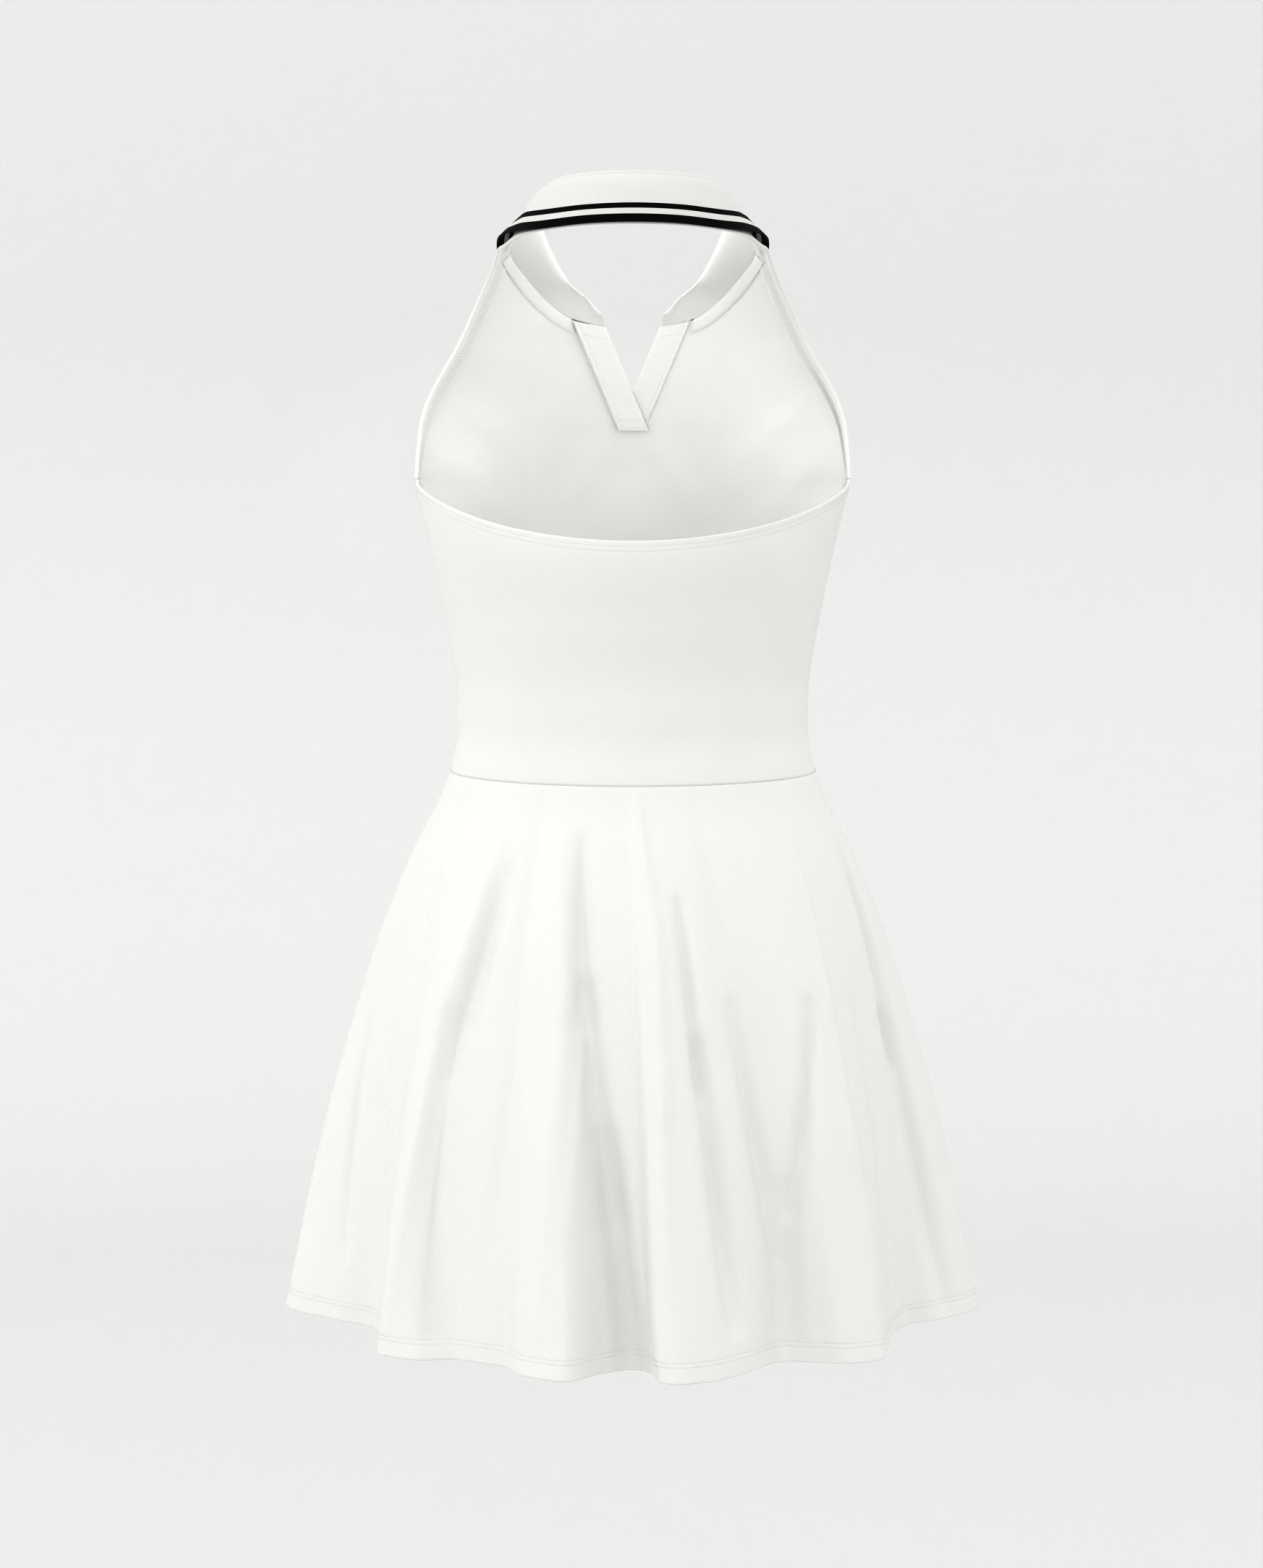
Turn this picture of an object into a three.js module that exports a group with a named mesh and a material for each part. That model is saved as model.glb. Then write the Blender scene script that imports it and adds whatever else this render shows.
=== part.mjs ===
// A sleeveless tennis dress with a polo collar, a halter front, a low open back and a flared skirt.
// It is hollow, as it hangs on the person who wears it, and the collar carries it at the neck.
// Millimetres, +Z up. The back of the dress faces -Y, the front faces +Y, and the wearer's right is +X.
// The origin is the middle of the neck, level with the nape.
import * as THREE from 'three';

// Cloth
const CLOTH = 1.2;              // jersey, one layer
const HEM_CLOTH = 2.4;          // jersey turned in at a hem, two layers
const SEAM_GAP = 0.3;           // between two pieces at a seam
const SIDE_GAP_DEGREES = 0.075; // half of the gap at a side seam
const HEM_STEP = 0.5;           // how fast a hem's second layer ends

// Heights
const UNDERARM_Z = -176;
const BACK_DIP = 42.5;          // the back's top edge falls this far from underarm to middle
const BACK_DIP_POWER = 1.17;
const WAIST_Z = -381;           // waist seam at the side seams
const WAIST_DIP = 4.5;          // the waist seam is this much lower at the middle
const HEM_Z = -768;

// Edge finishes
const TOP_HEM = 8;              // turned edge of armholes and back
const SKIRT_HEM = 12;

// Front opening: a slot in the front with a band down each side
const SLOT_TOP = { x: 41.7, z: -62.2 };
const SLOT_FOOT = { x: 10.2, z: -135.5 };
const BAND_WIDTH = 20.2;
const BAND_LAP = 1.5;           // how far a band lies over the front beside the slot
const BAND_FOOT = 3;            // how far it runs on below the slot
const BAND_CLOTH = 2.0;

// Neck
const BINDING_CLOTH = 1.2;
const BINDING_CLEAR = 0.12;     // in neck stations, from the front's tip to the binding's free part
const TAPE_CLOTH = 1.2;
const TAPE_START = { upper: 5.1, lower: 5.62 }; // stations where the tape meets the binding
const TAPE_END = { upper: 8.04, lower: 8.28 };  // and the bands of the front opening
const COLLAR_CLOTH = 1.6;
const FOLD_RADIUS = 2.3;        // at the top of the collar, to the middle of the cloth
const LEAF_CLEARANCE = 5.5;     // of the collar's leaf from the front that it lies on
const LEAF_CROSSING = 0.15;     // the share of the leaf, from its fold, that crosses the neckline
const LEAF_ROLL = 3.5;          // how far the leaf bows out between its fold and its edge
const LEAF_SKEW = 0.6;          // power that moves the bow towards the fold

// Bust fullness, added in front of the plain section
const BUST = { depth: 13, x: 70, z: -206, spreadX: 44, spreadUp: 62, spreadDown: 44 };

// Sections of the front, from shoulder to waist. The edge is the armhole, then the side seam.
// turn is the share of a quarter turn that the cloth makes from the middle to that edge.
const FRONT_SECTIONS = [
  { z: -8, edgeX: 89, edgeY: -14, middleY: 36, turn: 0.76 },
  { z: -20, edgeX: 94.7, edgeY: -4, middleY: 43, turn: 0.76 },
  { z: -32, edgeX: 99.7, edgeY: 6, middleY: 49.5, turn: 0.76 },
  { z: -57, edgeX: 112, edgeY: 20, middleY: 62, turn: 0.77 },
  { z: -83, edgeX: 124.8, edgeY: 31, middleY: 75, turn: 0.79 },
  { z: -108, edgeX: 140.1, edgeY: 35, middleY: 86, turn: 0.82 },
  { z: -121, edgeX: 146.4, edgeY: 33, middleY: 91.5, turn: 0.85 },
  { z: -133, edgeX: 150.2, edgeY: 28, middleY: 96, turn: 0.89 },
  { z: -146, edgeX: 151.6, edgeY: 20, middleY: 101, turn: 0.94 },
  { z: -176, edgeX: 152.3, edgeY: 0, middleY: 109, turn: 1 },
  { z: -197, edgeX: 147.7, edgeY: 0, middleY: 111, turn: 1 },
  { z: -222, edgeX: 142, edgeY: 0, middleY: 109, turn: 1 },
  { z: -248, edgeX: 136.4, edgeY: 0, middleY: 103, turn: 1 },
  { z: -299, edgeX: 126.8, edgeY: 0, middleY: 91, turn: 1 },
  { z: -325, edgeX: 123.5, edgeY: 0, middleY: 88, turn: 1 },
  { z: -351, edgeX: 123.3, edgeY: 0, middleY: 88, turn: 1 },
  { z: -386, edgeX: 130, edgeY: 0, middleY: 92, turn: 1 },
];

// Depth of the back behind the side seams
const BACK_SECTIONS = [
  { z: -176, depth: 98 },
  { z: -222, depth: 99 },
  { z: -274, depth: 90 },
  { z: -325, depth: 82 },
  { z: -351, depth: 82 },
  { z: -386, depth: 87 },
];

// Skirt: how wide and deep it stands at its folds' crests
const SKIRT_SECTIONS = [
  { z: -381, halfWidth: 129, back: 86.5, front: 91.5 },
  { z: -403, halfWidth: 137.7, back: 96, front: 98 },
  { z: -428, halfWidth: 150.8, back: 110, front: 107 },
  { z: -454, halfWidth: 163, back: 123, front: 116 },
  { z: -507, halfWidth: 183.3, back: 145, front: 134 },
  { z: -559, halfWidth: 199.6, back: 161, front: 150 },
  { z: -611, halfWidth: 214.8, back: 175, front: 164 },
  { z: -664, halfWidth: 228, back: 187, front: 177 },
  { z: -717, halfWidth: 239.5, back: 198, front: 189 },
  { z: -768, halfWidth: 250, back: 208, front: 200 },
];
const FOLD_ONSET = 1.3;         // power by which a fold grows from waist to hem

// Lines down the skirt, in degrees round it from the middle of the back, positive towards the
// wearer's right, where they leave the waist and where they meet the hem. depth is how far the
// hem stands out of the smooth shape there: crests near 0, troughs well below it.
const FOLD_LINES = [
  { name: 'left side trough', waist: -80, hem: -78, depth: -34 },
  { name: 'left back trough', waist: -66, hem: -66, depth: -53 },
  { name: 'left back flank', waist: -56, hem: -55, depth: -42 },
  { name: 'left back crest', waist: -47, hem: -46, depth: -15 },
  { name: 'left back shoulder', waist: -41, hem: -39.5, depth: -18 },
  { name: 'left inner trough', waist: -35, hem: -32, depth: -34 },
  { name: 'left inner floor', waist: -27, hem: -23, depth: -31 },
  { name: 'left inner flank', waist: -22, hem: -17.6, depth: -12 },
  { name: 'left inner crest', waist: -17, hem: -10.6, depth: -3 },
  { name: 'middle trough start', waist: -10, hem: -4.5, depth: -28 },
  { name: 'middle trough', waist: -6, hem: -1, depth: -34 },
  { name: 'middle trough end', waist: -1.5, hem: 2.6, depth: -28 },
  { name: 'middle crest edge', waist: 0.5, hem: 3.9, depth: -5 },
  { name: 'middle crest', waist: 3, hem: 7, depth: 2 },
  { name: 'middle crest side', waist: 8, hem: 12.5, depth: -3 },
  { name: 'right inner flank', waist: 15, hem: 18.8, depth: -19 },
  { name: 'right inner trough', waist: 26, hem: 27, depth: -36 },
  { name: 'right inner rise', waist: 32, hem: 33, depth: -25 },
  { name: 'right back shoulder', waist: 37, hem: 37.2, depth: -12 },
  { name: 'right back crest', waist: 43, hem: 43.2, depth: -6.5 },
  { name: 'right back side', waist: 48, hem: 48.4, depth: -21 },
  { name: 'right back trough', waist: 62, hem: 62, depth: -46 },
  { name: 'right side trough', waist: 70, hem: 69.5, depth: -48 },
  { name: 'right side flank', waist: 80, hem: 80, depth: -24 },
  { name: 'right side crest', waist: 93, hem: 93, depth: 0 },
  { name: 'right side front trough', waist: 106, hem: 107, depth: -40 },
  { name: 'right front crest edge', waist: 116, hem: 117, depth: -10 },
  { name: 'right front crest', waist: 121, hem: 122, depth: -4 },
  { name: 'right front trough', waist: 134, hem: 134, depth: -38 },
  { name: 'right front rise', waist: 142, hem: 142, depth: -20 },
  { name: 'right middle crest', waist: 149, hem: 149, depth: -3 },
  { name: 'right middle trough', waist: 162, hem: 163, depth: -37 },
  { name: 'front crest edge', waist: 172, hem: 172, depth: -9 },
  { name: 'front crest', waist: 178, hem: 178, depth: 0 },
  { name: 'left middle trough', waist: 191, hem: 191, depth: -32 },
  { name: 'left middle floor', waist: 198, hem: 198, depth: -35 },
  { name: 'left middle crest', waist: 208, hem: 209, depth: -5 },
  { name: 'left middle side', waist: 214, hem: 215, depth: -12 },
  { name: 'left front trough', waist: 225, hem: 226, depth: -39 },
  { name: 'left front crest', waist: 239, hem: 239, depth: -4 },
  { name: 'left front side', waist: 245, hem: 245, depth: -16 },
  { name: 'left side front trough', waist: 256, hem: 256, depth: -39 },
  { name: 'left side crest', waist: 267, hem: 267, depth: 0 },
];

// Half of the neck in ten stations, from the nape to the collar's front end. A point with no y
// lies on the front.
const NECK = {
  // where the collar's stand is sewn on
  seam: [
    { x: 0, y: -72, z: 4 },
    { x: 27, y: -69, z: 3.6 },
    { x: 53, y: -55.5, z: 2 },
    { x: 72, y: -33, z: -1.5 },
    { x: 82, y: -14, z: -8.5 },
    { x: 86.6, z: -18.5 },
    { x: 78.3, z: -30.6 },
    { x: 63, z: -47.4 },
    { x: 45, z: -60 },
    { x: 20.6, z: -66 },
  ],
  // the collar's top
  fold: [
    { x: 0, y: -70, z: 31 },
    { x: 30, y: -65.5, z: 30 },
    { x: 51.5, y: -50.5, z: 27.5 },
    { x: 61, y: -28, z: 19.5 },
    { x: 63.5, y: -7, z: 8 },
    { x: 61, y: 9, z: -2.5 },
    { x: 54, y: 24, z: -19 },
    { x: 43.5, y: 38, z: -36 },
    { x: 31.5, y: 49, z: -45.5 },
    { x: 24.3, y: 57, z: -56 },
  ],
  // the leaf's outer edge
  edge: [
    { x: 0, y: -86, z: -4 },
    { x: 32, y: -82, z: -4.8 },
    { x: 62, y: -63, z: -6.8 },
    { x: 80.5, y: -34, z: -6 },
    { x: 92, y: -8, z: -7 },
    { x: 95.5, y: 14, z: -13.5 },
    { x: 93, y: 35, z: -33 },
    { x: 86, y: 54, z: -60 },
    { x: 75, y: 72, z: -88 },
    { x: 60, y: 88, z: -117 },
  ],
  // the lower edge of the binding behind, then of the tape in front
  tape: [
    { x: 0, y: -73, z: -3.8 },
    { x: 28, y: -70, z: -4.2 },
    { x: 56, y: -57, z: -6 },
    { x: 76.5, y: -34.5, z: -8.5 },
    { x: 88, y: -15, z: -14 },
    { x: 94.2, z: -19 },
    { x: 84, z: -36.5 },
    { x: 67.8, z: -54 },
    { x: 48.5, z: -67.5 },
    { x: 22, z: -74.5 },
  ],
};
const SHOULDER_STATION = 5;     // the armhole meets the neck here
const SLOT_STATION = 8.12;      // the front opening's slot begins here
const LAST_STATION = 9;

// How finely the cloth is divided
const FOOT_SHARE = 0.08;        // of the front's half width: the slot's foot, then its side
const SLOT_SHARE = 0.34;
const SKIRT_ROWS = 11;
const COLUMNS_PER_FOLD_LINE = 2;
const ARMHOLE_ROWS = 12;        // of the front, above the bust and the underarms
const SIDE_ROWS = 10;           // below them
const BACK_ROWS = 9;
const BACK_COLUMNS = 34;
const COLLAR_STEPS = 3;         // per neck station
const LEAF_STEPS = 6;
const BAND_ROWS = 8;
const TAPE_ROWS = 12;
const BINDING_STEPS = 24;

const cloth = (color, roughness) => new THREE.MeshStandardMaterial({ color, roughness, metalness: 0 });
const jersey = cloth(0xf0f1ec, 0.9);
const bandCloth = cloth(0xf1f2ed, 0.9);
const tapeCloth = cloth(0xf2f2ee, 0.85);
const rib = cloth(0xf3f3ef, 0.85);

const radians = THREE.MathUtils.degToRad;
const mix = THREE.MathUtils.lerp;

// Evenly spaced numbers, both ends included.
function stepsFrom(first, last, count) {
  return Array.from({ length: count + 1 }, (_, k) => mix(first, last, k / count));
}

// A smooth value that never overshoots its knots, for knots xs in rising order.
function smoothThrough(xs, ys, x) {
  const last = xs.length - 1;
  const slope = (k) => (ys[k + 1] - ys[k]) / (xs[k + 1] - xs[k]);
  const tangent = (k) => {
    if (k <= 0) return slope(0);
    if (k >= last) return slope(last - 1);
    const before = slope(k - 1);
    const after = slope(k);
    return before * after <= 0 ? 0 : (2 * before * after) / (before + after);
  };
  let k = 0;
  while (k < last - 1 && x > xs[k + 1]) k += 1;
  const width = xs[k + 1] - xs[k];
  const t = THREE.MathUtils.clamp((x - xs[k]) / width, 0, 1);
  const t2 = t * t;
  const t3 = t2 * t;
  return (2 * t3 - 3 * t2 + 1) * ys[k] + (t3 - 2 * t2 + t) * width * tangent(k)
    + (3 * t2 - 2 * t3) * ys[k + 1] + (t3 - t2) * width * tangent(k + 1);
}

// One column of a table of sections, as a function of the height z.
function byHeight(rows, column) {
  const falling = rows.map((row) => -row.z);
  const values = rows.map((row) => row[column]);
  return (z) => smoothThrough(falling, values, -z);
}

const edgeX = byHeight(FRONT_SECTIONS, 'edgeX');
const edgeY = byHeight(FRONT_SECTIONS, 'edgeY');
const middleY = byHeight(FRONT_SECTIONS, 'middleY');
const turn = byHeight(FRONT_SECTIONS, 'turn');
const backDepth = byHeight(BACK_SECTIONS, 'depth');
const skirtHalfWidth = byHeight(SKIRT_SECTIONS, 'halfWidth');
const skirtBack = byHeight(SKIRT_SECTIONS, 'back');
const skirtFront = byHeight(SKIRT_SECTIONS, 'front');

function bustDepth(x, z) {
  const spreadZ = z > BUST.z ? BUST.spreadUp : BUST.spreadDown;
  const height = Math.exp(-(((z - BUST.z) / spreadZ) ** 2));
  const side = (at) => Math.exp(-(((x - at) / BUST.spreadX) ** 2));
  return BUST.depth * height * (side(BUST.x) + side(-BUST.x));
}

// A place on the front. across runs from -1 to 1, from one armhole or side seam to the other.
function frontPlace(across, z) {
  const quarter = (turn(z) * Math.PI) / 2;
  const angle = across * quarter;
  const x = (edgeX(z) * Math.sin(angle)) / Math.sin(quarter);
  const bow = (Math.cos(angle) - Math.cos(quarter)) / (1 - Math.cos(quarter));
  const fullness = bustDepth(x, z) * Math.min(1, 3 * (1 - Math.abs(across)));
  return new THREE.Vector3(x, mix(edgeY(z), middleY(z), bow) + fullness, z);
}

// How far across the front a given x lies at a height.
function acrossAt(x, z) {
  const quarter = (turn(z) * Math.PI) / 2;
  const sine = THREE.MathUtils.clamp((x / edgeX(z)) * Math.sin(quarter), -1, 1);
  return Math.asin(sine) / quarter;
}

const onFront = (x, z) => frontPlace(acrossAt(x, z), z);

// A place on the back. degrees runs from -90 to 90, from one side seam to the other.
function backPlace(degrees, z) {
  const angle = radians(degrees);
  return new THREE.Vector3(edgeX(z) * Math.sin(angle), -backDepth(z) * Math.cos(angle), z);
}

const backTopZ = (degrees) => UNDERARM_Z - BACK_DIP * Math.cos(radians(degrees)) ** BACK_DIP_POWER;
const waistZ = (degrees) => WAIST_Z - WAIST_DIP * Math.abs(Math.cos(radians(degrees)));

// The angle of each fold line at a share of the way from waist to hem, once round from left to left.
function foldAngles(share) {
  const angles = FOLD_LINES.map((line) => mix(line.waist, line.hem, share));
  return [angles.at(-1) - 360, ...angles, angles[0] + 360];
}
const foldDepths = [FOLD_LINES.at(-1).depth, ...FOLD_LINES.map((line) => line.depth), FOLD_LINES[0].depth];

// A place on the skirt. share runs from 0 at the waist seam to 1 at the hem.
function skirtPlace(degrees, share) {
  const z = mix(waistZ(degrees), HEM_Z, share);
  const angle = radians(degrees);
  const halfWidth = skirtHalfWidth(z);
  const depth = Math.cos(angle) > 0 ? skirtBack(z) : skirtFront(z);
  const fold = smoothThrough(foldAngles(share), foldDepths, degrees) * share ** FOLD_ONSET;
  const outX = Math.sin(angle) / halfWidth;
  const outY = -Math.cos(angle) / depth;
  const length = Math.hypot(outX, outY);
  return new THREE.Vector3(
    halfWidth * Math.sin(angle) + (fold * outX) / length,
    -depth * Math.cos(angle) + (fold * outY) / length,
    z,
  );
}

// The outward direction of a surface at (u, v), which faces away from the inside of the dress.
function outward(surface, u, v, stepU, stepV, facing) {
  const alongU = surface(u + stepU, v).sub(surface(u - stepU, v));
  const alongV = surface(u, v + stepV).sub(surface(u, v - stepV));
  const normal = alongU.cross(alongV).normalize();
  return facing(normal) < 0 ? normal.negate() : normal;
}

// A closed wall between an outer and an inner grid of points, each given row by row.
function wallGeometry(outer, inner) {
  const rows = outer.length;
  const columns = outer[0].length;
  const points = [...outer.flat(), ...inner.flat()];
  const at = (side, row, column) => side * rows * columns + row * columns + column;
  const triangles = [];
  const quad = (a, b, c, d) => triangles.push(a, b, c, a, c, d);
  for (let r = 0; r < rows - 1; r += 1) {
    for (let c = 0; c < columns - 1; c += 1) {
      quad(at(0, r, c), at(0, r + 1, c), at(0, r + 1, c + 1), at(0, r, c + 1));
      quad(at(1, r, c), at(1, r, c + 1), at(1, r + 1, c + 1), at(1, r + 1, c));
    }
  }
  for (let r = 0; r < rows - 1; r += 1) {
    quad(at(0, r, 0), at(1, r, 0), at(1, r + 1, 0), at(0, r + 1, 0));
    quad(at(0, r, columns - 1), at(0, r + 1, columns - 1), at(1, r + 1, columns - 1), at(1, r, columns - 1));
  }
  for (let c = 0; c < columns - 1; c += 1) {
    quad(at(0, 0, c), at(0, 0, c + 1), at(1, 0, c + 1), at(1, 0, c));
    quad(at(0, rows - 1, c), at(1, rows - 1, c), at(1, rows - 1, c + 1), at(0, rows - 1, c + 1));
  }
  const volume = triangles.reduce((sum, _, k) => {
    if (k % 3) return sum;
    const [a, b, c] = [0, 1, 2].map((n) => points[triangles[k + n]]);
    return sum + a.dot(b.clone().cross(c));
  }, 0);
  if (volume < 0) triangles.reverse();
  const geometry = new THREE.BufferGeometry();
  geometry.setAttribute('position', new THREE.Float32BufferAttribute(points.flatMap((p) => p.toArray()), 3));
  geometry.setIndex(triangles);
  geometry.computeVertexNormals();
  return geometry;
}

// A wall from a grid of { place, out, outside, inside }: the cloth reaches from outside to inside
// along out, both measured from the middle of the cloth.
function clothGeometry(grid) {
  const shift = (cell, distance) => cell.place.clone().addScaledVector(cell.out, distance);
  return wallGeometry(
    grid.map((row) => row.map((cell) => shift(cell, cell.outside))),
    grid.map((row) => row.map((cell) => shift(cell, -cell.inside))),
  );
}

// How far the inner face lies from the middle of the cloth, at a distance from a turned edge.
const turnedInside = (fromEdge, hem) => (fromEdge < hem ? HEM_CLOTH - CLOTH / 2 : CLOTH / 2);

const outFront = (across, z) => outward(frontPlace, across, z, 1e-4, 0.01, (n) => n.y + 1e-3);
const outBack = (degrees, z) => outward(backPlace, degrees, z, 0.01, 0.01, (n) => -n.y + 1e-3);
const outSkirt = (degrees, share) => {
  const angle = radians(degrees);
  const facing = (normal) => normal.x * Math.sin(angle) - normal.y * Math.cos(angle);
  return outward(skirtPlace, degrees, share, 0.01, 1e-4, facing);
};

function skirtPanel(firstDegrees, lastDegrees) {
  const columnCount = (FOLD_LINES.length + 1) * COLUMNS_PER_FOLD_LINE;
  const onLines = (share) => {
    const knots = foldAngles(share);
    const fine = [];
    for (let k = 0; k < columnCount; k += 1) {
      const line = Math.floor(k / COLUMNS_PER_FOLD_LINE);
      fine.push(mix(knots[line], knots[line + 1], (k % COLUMNS_PER_FOLD_LINE) / COLUMNS_PER_FOLD_LINE));
    }
    return [...fine, ...fine.map((degrees) => degrees + 360)];
  };
  const first = firstDegrees + SIDE_GAP_DEGREES;
  const last = lastDegrees - SIDE_GAP_DEGREES;
  const margin = 1.5;
  const chosen = onLines(1).map((degrees) => degrees > first + margin && degrees < last - margin);
  const slope = Math.abs(HEM_Z - WAIST_Z);
  const hemShare = 1 - SKIRT_HEM / slope;
  const shares = [];
  for (let r = 0; r <= SKIRT_ROWS; r += 1) shares.push((hemShare * r) / SKIRT_ROWS);
  shares.push(hemShare + HEM_STEP / slope, 1);
  const grid = shares.map((share) => {
    const inner = onLines(share).filter((_, k) => chosen[k]);
    return [first, ...inner, last].map((degrees) => {
      const start = SEAM_GAP / slope;
      const down = Math.max(share, start);
      return {
        place: skirtPlace(degrees, down),
        out: outSkirt(degrees, down),
        outside: CLOTH / 2,
        inside: turnedInside((1 - down) * slope, SKIRT_HEM),
      };
    });
  });
  return clothGeometry(grid);
}

function backPanel() {
  const widest = 90 - SIDE_GAP_DEGREES;
  const heights = (top, foot) => {
    const hemFoot = top - TOP_HEM;
    return [top, hemFoot + HEM_STEP, ...stepsFrom(hemFoot, foot, BACK_ROWS)];
  };
  const grid = stepsFrom(-widest, widest, BACK_COLUMNS).map((degrees) => {
    const top = backTopZ(degrees);
    return heights(top, waistZ(degrees)).map((z) => ({
      place: backPlace(degrees, z),
      out: outBack(degrees, z),
      outside: CLOTH / 2,
      inside: turnedInside(top - z, TOP_HEM),
    }));
  });
  return clothGeometry(grid);
}

// The ten points of a neck line in space, and their mirror images and run-outs at either end.
const neckLines = {};
for (const [line, rows] of Object.entries(NECK)) {
  neckLines[line] = rows.map(({ x, y, z }) => (y === undefined ? onFront(x, z) : new THREE.Vector3(x, y, z)));
}
function stationPoint(line, station) {
  const half = neckLines[line];
  const k = Math.abs(station);
  const point = half[Math.min(k, LAST_STATION)].clone();
  if (k > LAST_STATION) point.multiplyScalar(2).sub(half[2 * LAST_STATION - k]);
  return station < 0 ? point.setX(-point.x) : point;
}

// A point of a neck line, at any station from -9 on the wearer's left to 9 on the right.
function neckPoint(line, station) {
  const k = Math.floor(station);
  const t = station - k;
  const [a, b, c, d] = [-1, 0, 1, 2].map((n) => stationPoint(line, k + n));
  return b.clone().multiplyScalar(2)
    .addScaledVector(c.clone().sub(a), t)
    .addScaledVector(a.clone().multiplyScalar(2).addScaledVector(b, -5).addScaledVector(c, 4).sub(d), t * t)
    .addScaledVector(b.clone().sub(c).multiplyScalar(3).add(d).sub(a), t * t * t)
    .multiplyScalar(0.5);
}

// A point on the front's neckline, which the seam gap keeps clear of the collar.
function necklinePoint(station) {
  const seam = neckPoint('seam', station);
  const tape = neckPoint('tape', station);
  return seam.lerp(tape, SEAM_GAP / seam.distanceTo(tape));
}

// The share of the front's half width that a turned edge takes up at a height.
function edgeShare(z) {
  const small = 0.01;
  const run = frontPlace(1, z).distanceTo(frontPlace(1 - small, z)) / small;
  return TOP_HEM / run;
}

// The top edge of the front at a share of its half width: the slot's foot, the slot's side, then
// the neckline out to the armhole.
function frontTop(share) {
  if (share <= FOOT_SHARE) return { x: (SLOT_FOOT.x * share) / FOOT_SHARE, z: SLOT_FOOT.z };
  if (share <= SLOT_SHARE) {
    const t = (share - FOOT_SHARE) / (SLOT_SHARE - FOOT_SHARE);
    return { x: mix(SLOT_FOOT.x, SLOT_TOP.x, t), z: mix(SLOT_FOOT.z, SLOT_TOP.z, t) };
  }
  const t = (share - SLOT_SHARE) / (1 - SLOT_SHARE);
  return necklinePoint(mix(SLOT_STATION, SHOULDER_STATION, t));
}

// Rows of the front, from 0 at its top edge over 1 at the bust and the underarms to 2 at the waist.
const frontRows = () => [...stepsFrom(0, 1, ARMHOLE_ROWS), ...stepsFrom(1, 2, SIDE_ROWS).slice(1)];
function frontRowZ(row, topZ, column) {
  const bustZ = mix(BUST.z, UNDERARM_Z, THREE.MathUtils.smoothstep(Math.abs(column), 0, 1));
  return row < 1 ? mix(topZ, bustZ, row) : mix(bustZ, waistZ(90 * column), row - 1);
}

function frontPanel() {
  const half = [
    ...stepsFrom(0, FOOT_SHARE, 2),
    ...stepsFrom(FOOT_SHARE, SLOT_SHARE, 6).slice(1),
    ...stepsFrom(SLOT_SHARE, 1, 12).slice(1),
  ];
  const columns = [...half.slice(1).reverse().map((share) => -share), ...half];
  const sideGap = SIDE_GAP_DEGREES / 90;
  const cell = (across, z) => ({
    place: frontPlace(across, z),
    out: outFront(across, z),
    outside: CLOTH / 2,
    inside: CLOTH / 2,
  });
  const grid = frontRows().map((row) => {
    const body = columns.map((column) => {
      const side = Math.sign(column);
      const top = frontTop(Math.abs(column));
      const z = frontRowZ(row, top.z, column);
      const start = side * (Math.abs(column) < 1 ? acrossAt(top.x, top.z) : 1 - edgeShare(z));
      const end = column * (1 - edgeShare(z));
      return cell(mix(start, end, THREE.MathUtils.smoothstep(row, 0, 1.5)), z);
    });
    const left = cell(sideGap - 1, body[0].place.z);
    const right = cell(1 - sideGap, body.at(-1).place.z);
    return [left, ...body, right];
  });
  return clothGeometry(grid);
}

// The armholes' binding, from one underarm up over the shoulder, under the collar behind the neck,
// and down to the other. On the front it lies on the inside of the edge.
function armholeBinding() {
  const onPanel = { outside: -(CLOTH / 2 + SEAM_GAP), inside: CLOTH / 2 + SEAM_GAP + BINDING_CLOTH };
  const behindNeck = { outside: CLOTH / 2, inside: CLOTH / 2 + SEAM_GAP + BINDING_CLOTH };
  const tipZ = necklinePoint(SHOULDER_STATION).z;
  const armhole = (side) => stepsFrom(1, 0, ARMHOLE_ROWS).map((row) => {
    const z = frontRowZ(row, tipZ, side);
    return [side * (1 - edgeShare(z)), side * (1 - SIDE_GAP_DEGREES / 90)].map((across) => (
      { place: frontPlace(across, z), out: outFront(across, z), ...onPanel }
    ));
  });
  const behind = (station, up) => neckPoint('tape', station).lerp(neckPoint('seam', station), up);
  const top = 1 - SEAM_GAP / TOP_HEM;
  const facing = (station) => {
    const seam = neckPoint('seam', station);
    return (normal) => normal.x * seam.x + normal.y * seam.y;
  };
  const last = SHOULDER_STATION - BINDING_CLEAR;
  const neck = stepsFrom(-last, last, BINDING_STEPS).map((station) => [top, 0].map((up) => ({
    place: behind(station, up),
    out: outward(behind, station, up, 0.01, 0.01, facing(station)),
    ...behindNeck,
  })));
  return clothGeometry([...armhole(-1), ...neck, ...armhole(1).reverse()]);
}

// The tape over the collar's seam inside one side of the front.
function neckTape(side) {
  const grid = stepsFrom(0, 1, TAPE_ROWS).map((along) => {
    const upper = neckPoint('seam', mix(TAPE_START.upper, TAPE_END.upper, along));
    const lower = neckPoint('tape', mix(TAPE_START.lower, TAPE_END.lower, along));
    const down = SEAM_GAP / upper.distanceTo(lower);
    return [down, 0.5, 1].map((t) => {
      const { x, z } = upper.clone().lerp(lower, t);
      const across = side * acrossAt(x, z);
      return {
        place: frontPlace(across, z),
        out: outFront(across, z),
        outside: -(CLOTH / 2 + SEAM_GAP),
        inside: CLOTH / 2 + SEAM_GAP + TAPE_CLOTH,
      };
    });
  });
  return clothGeometry(grid);
}

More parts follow.
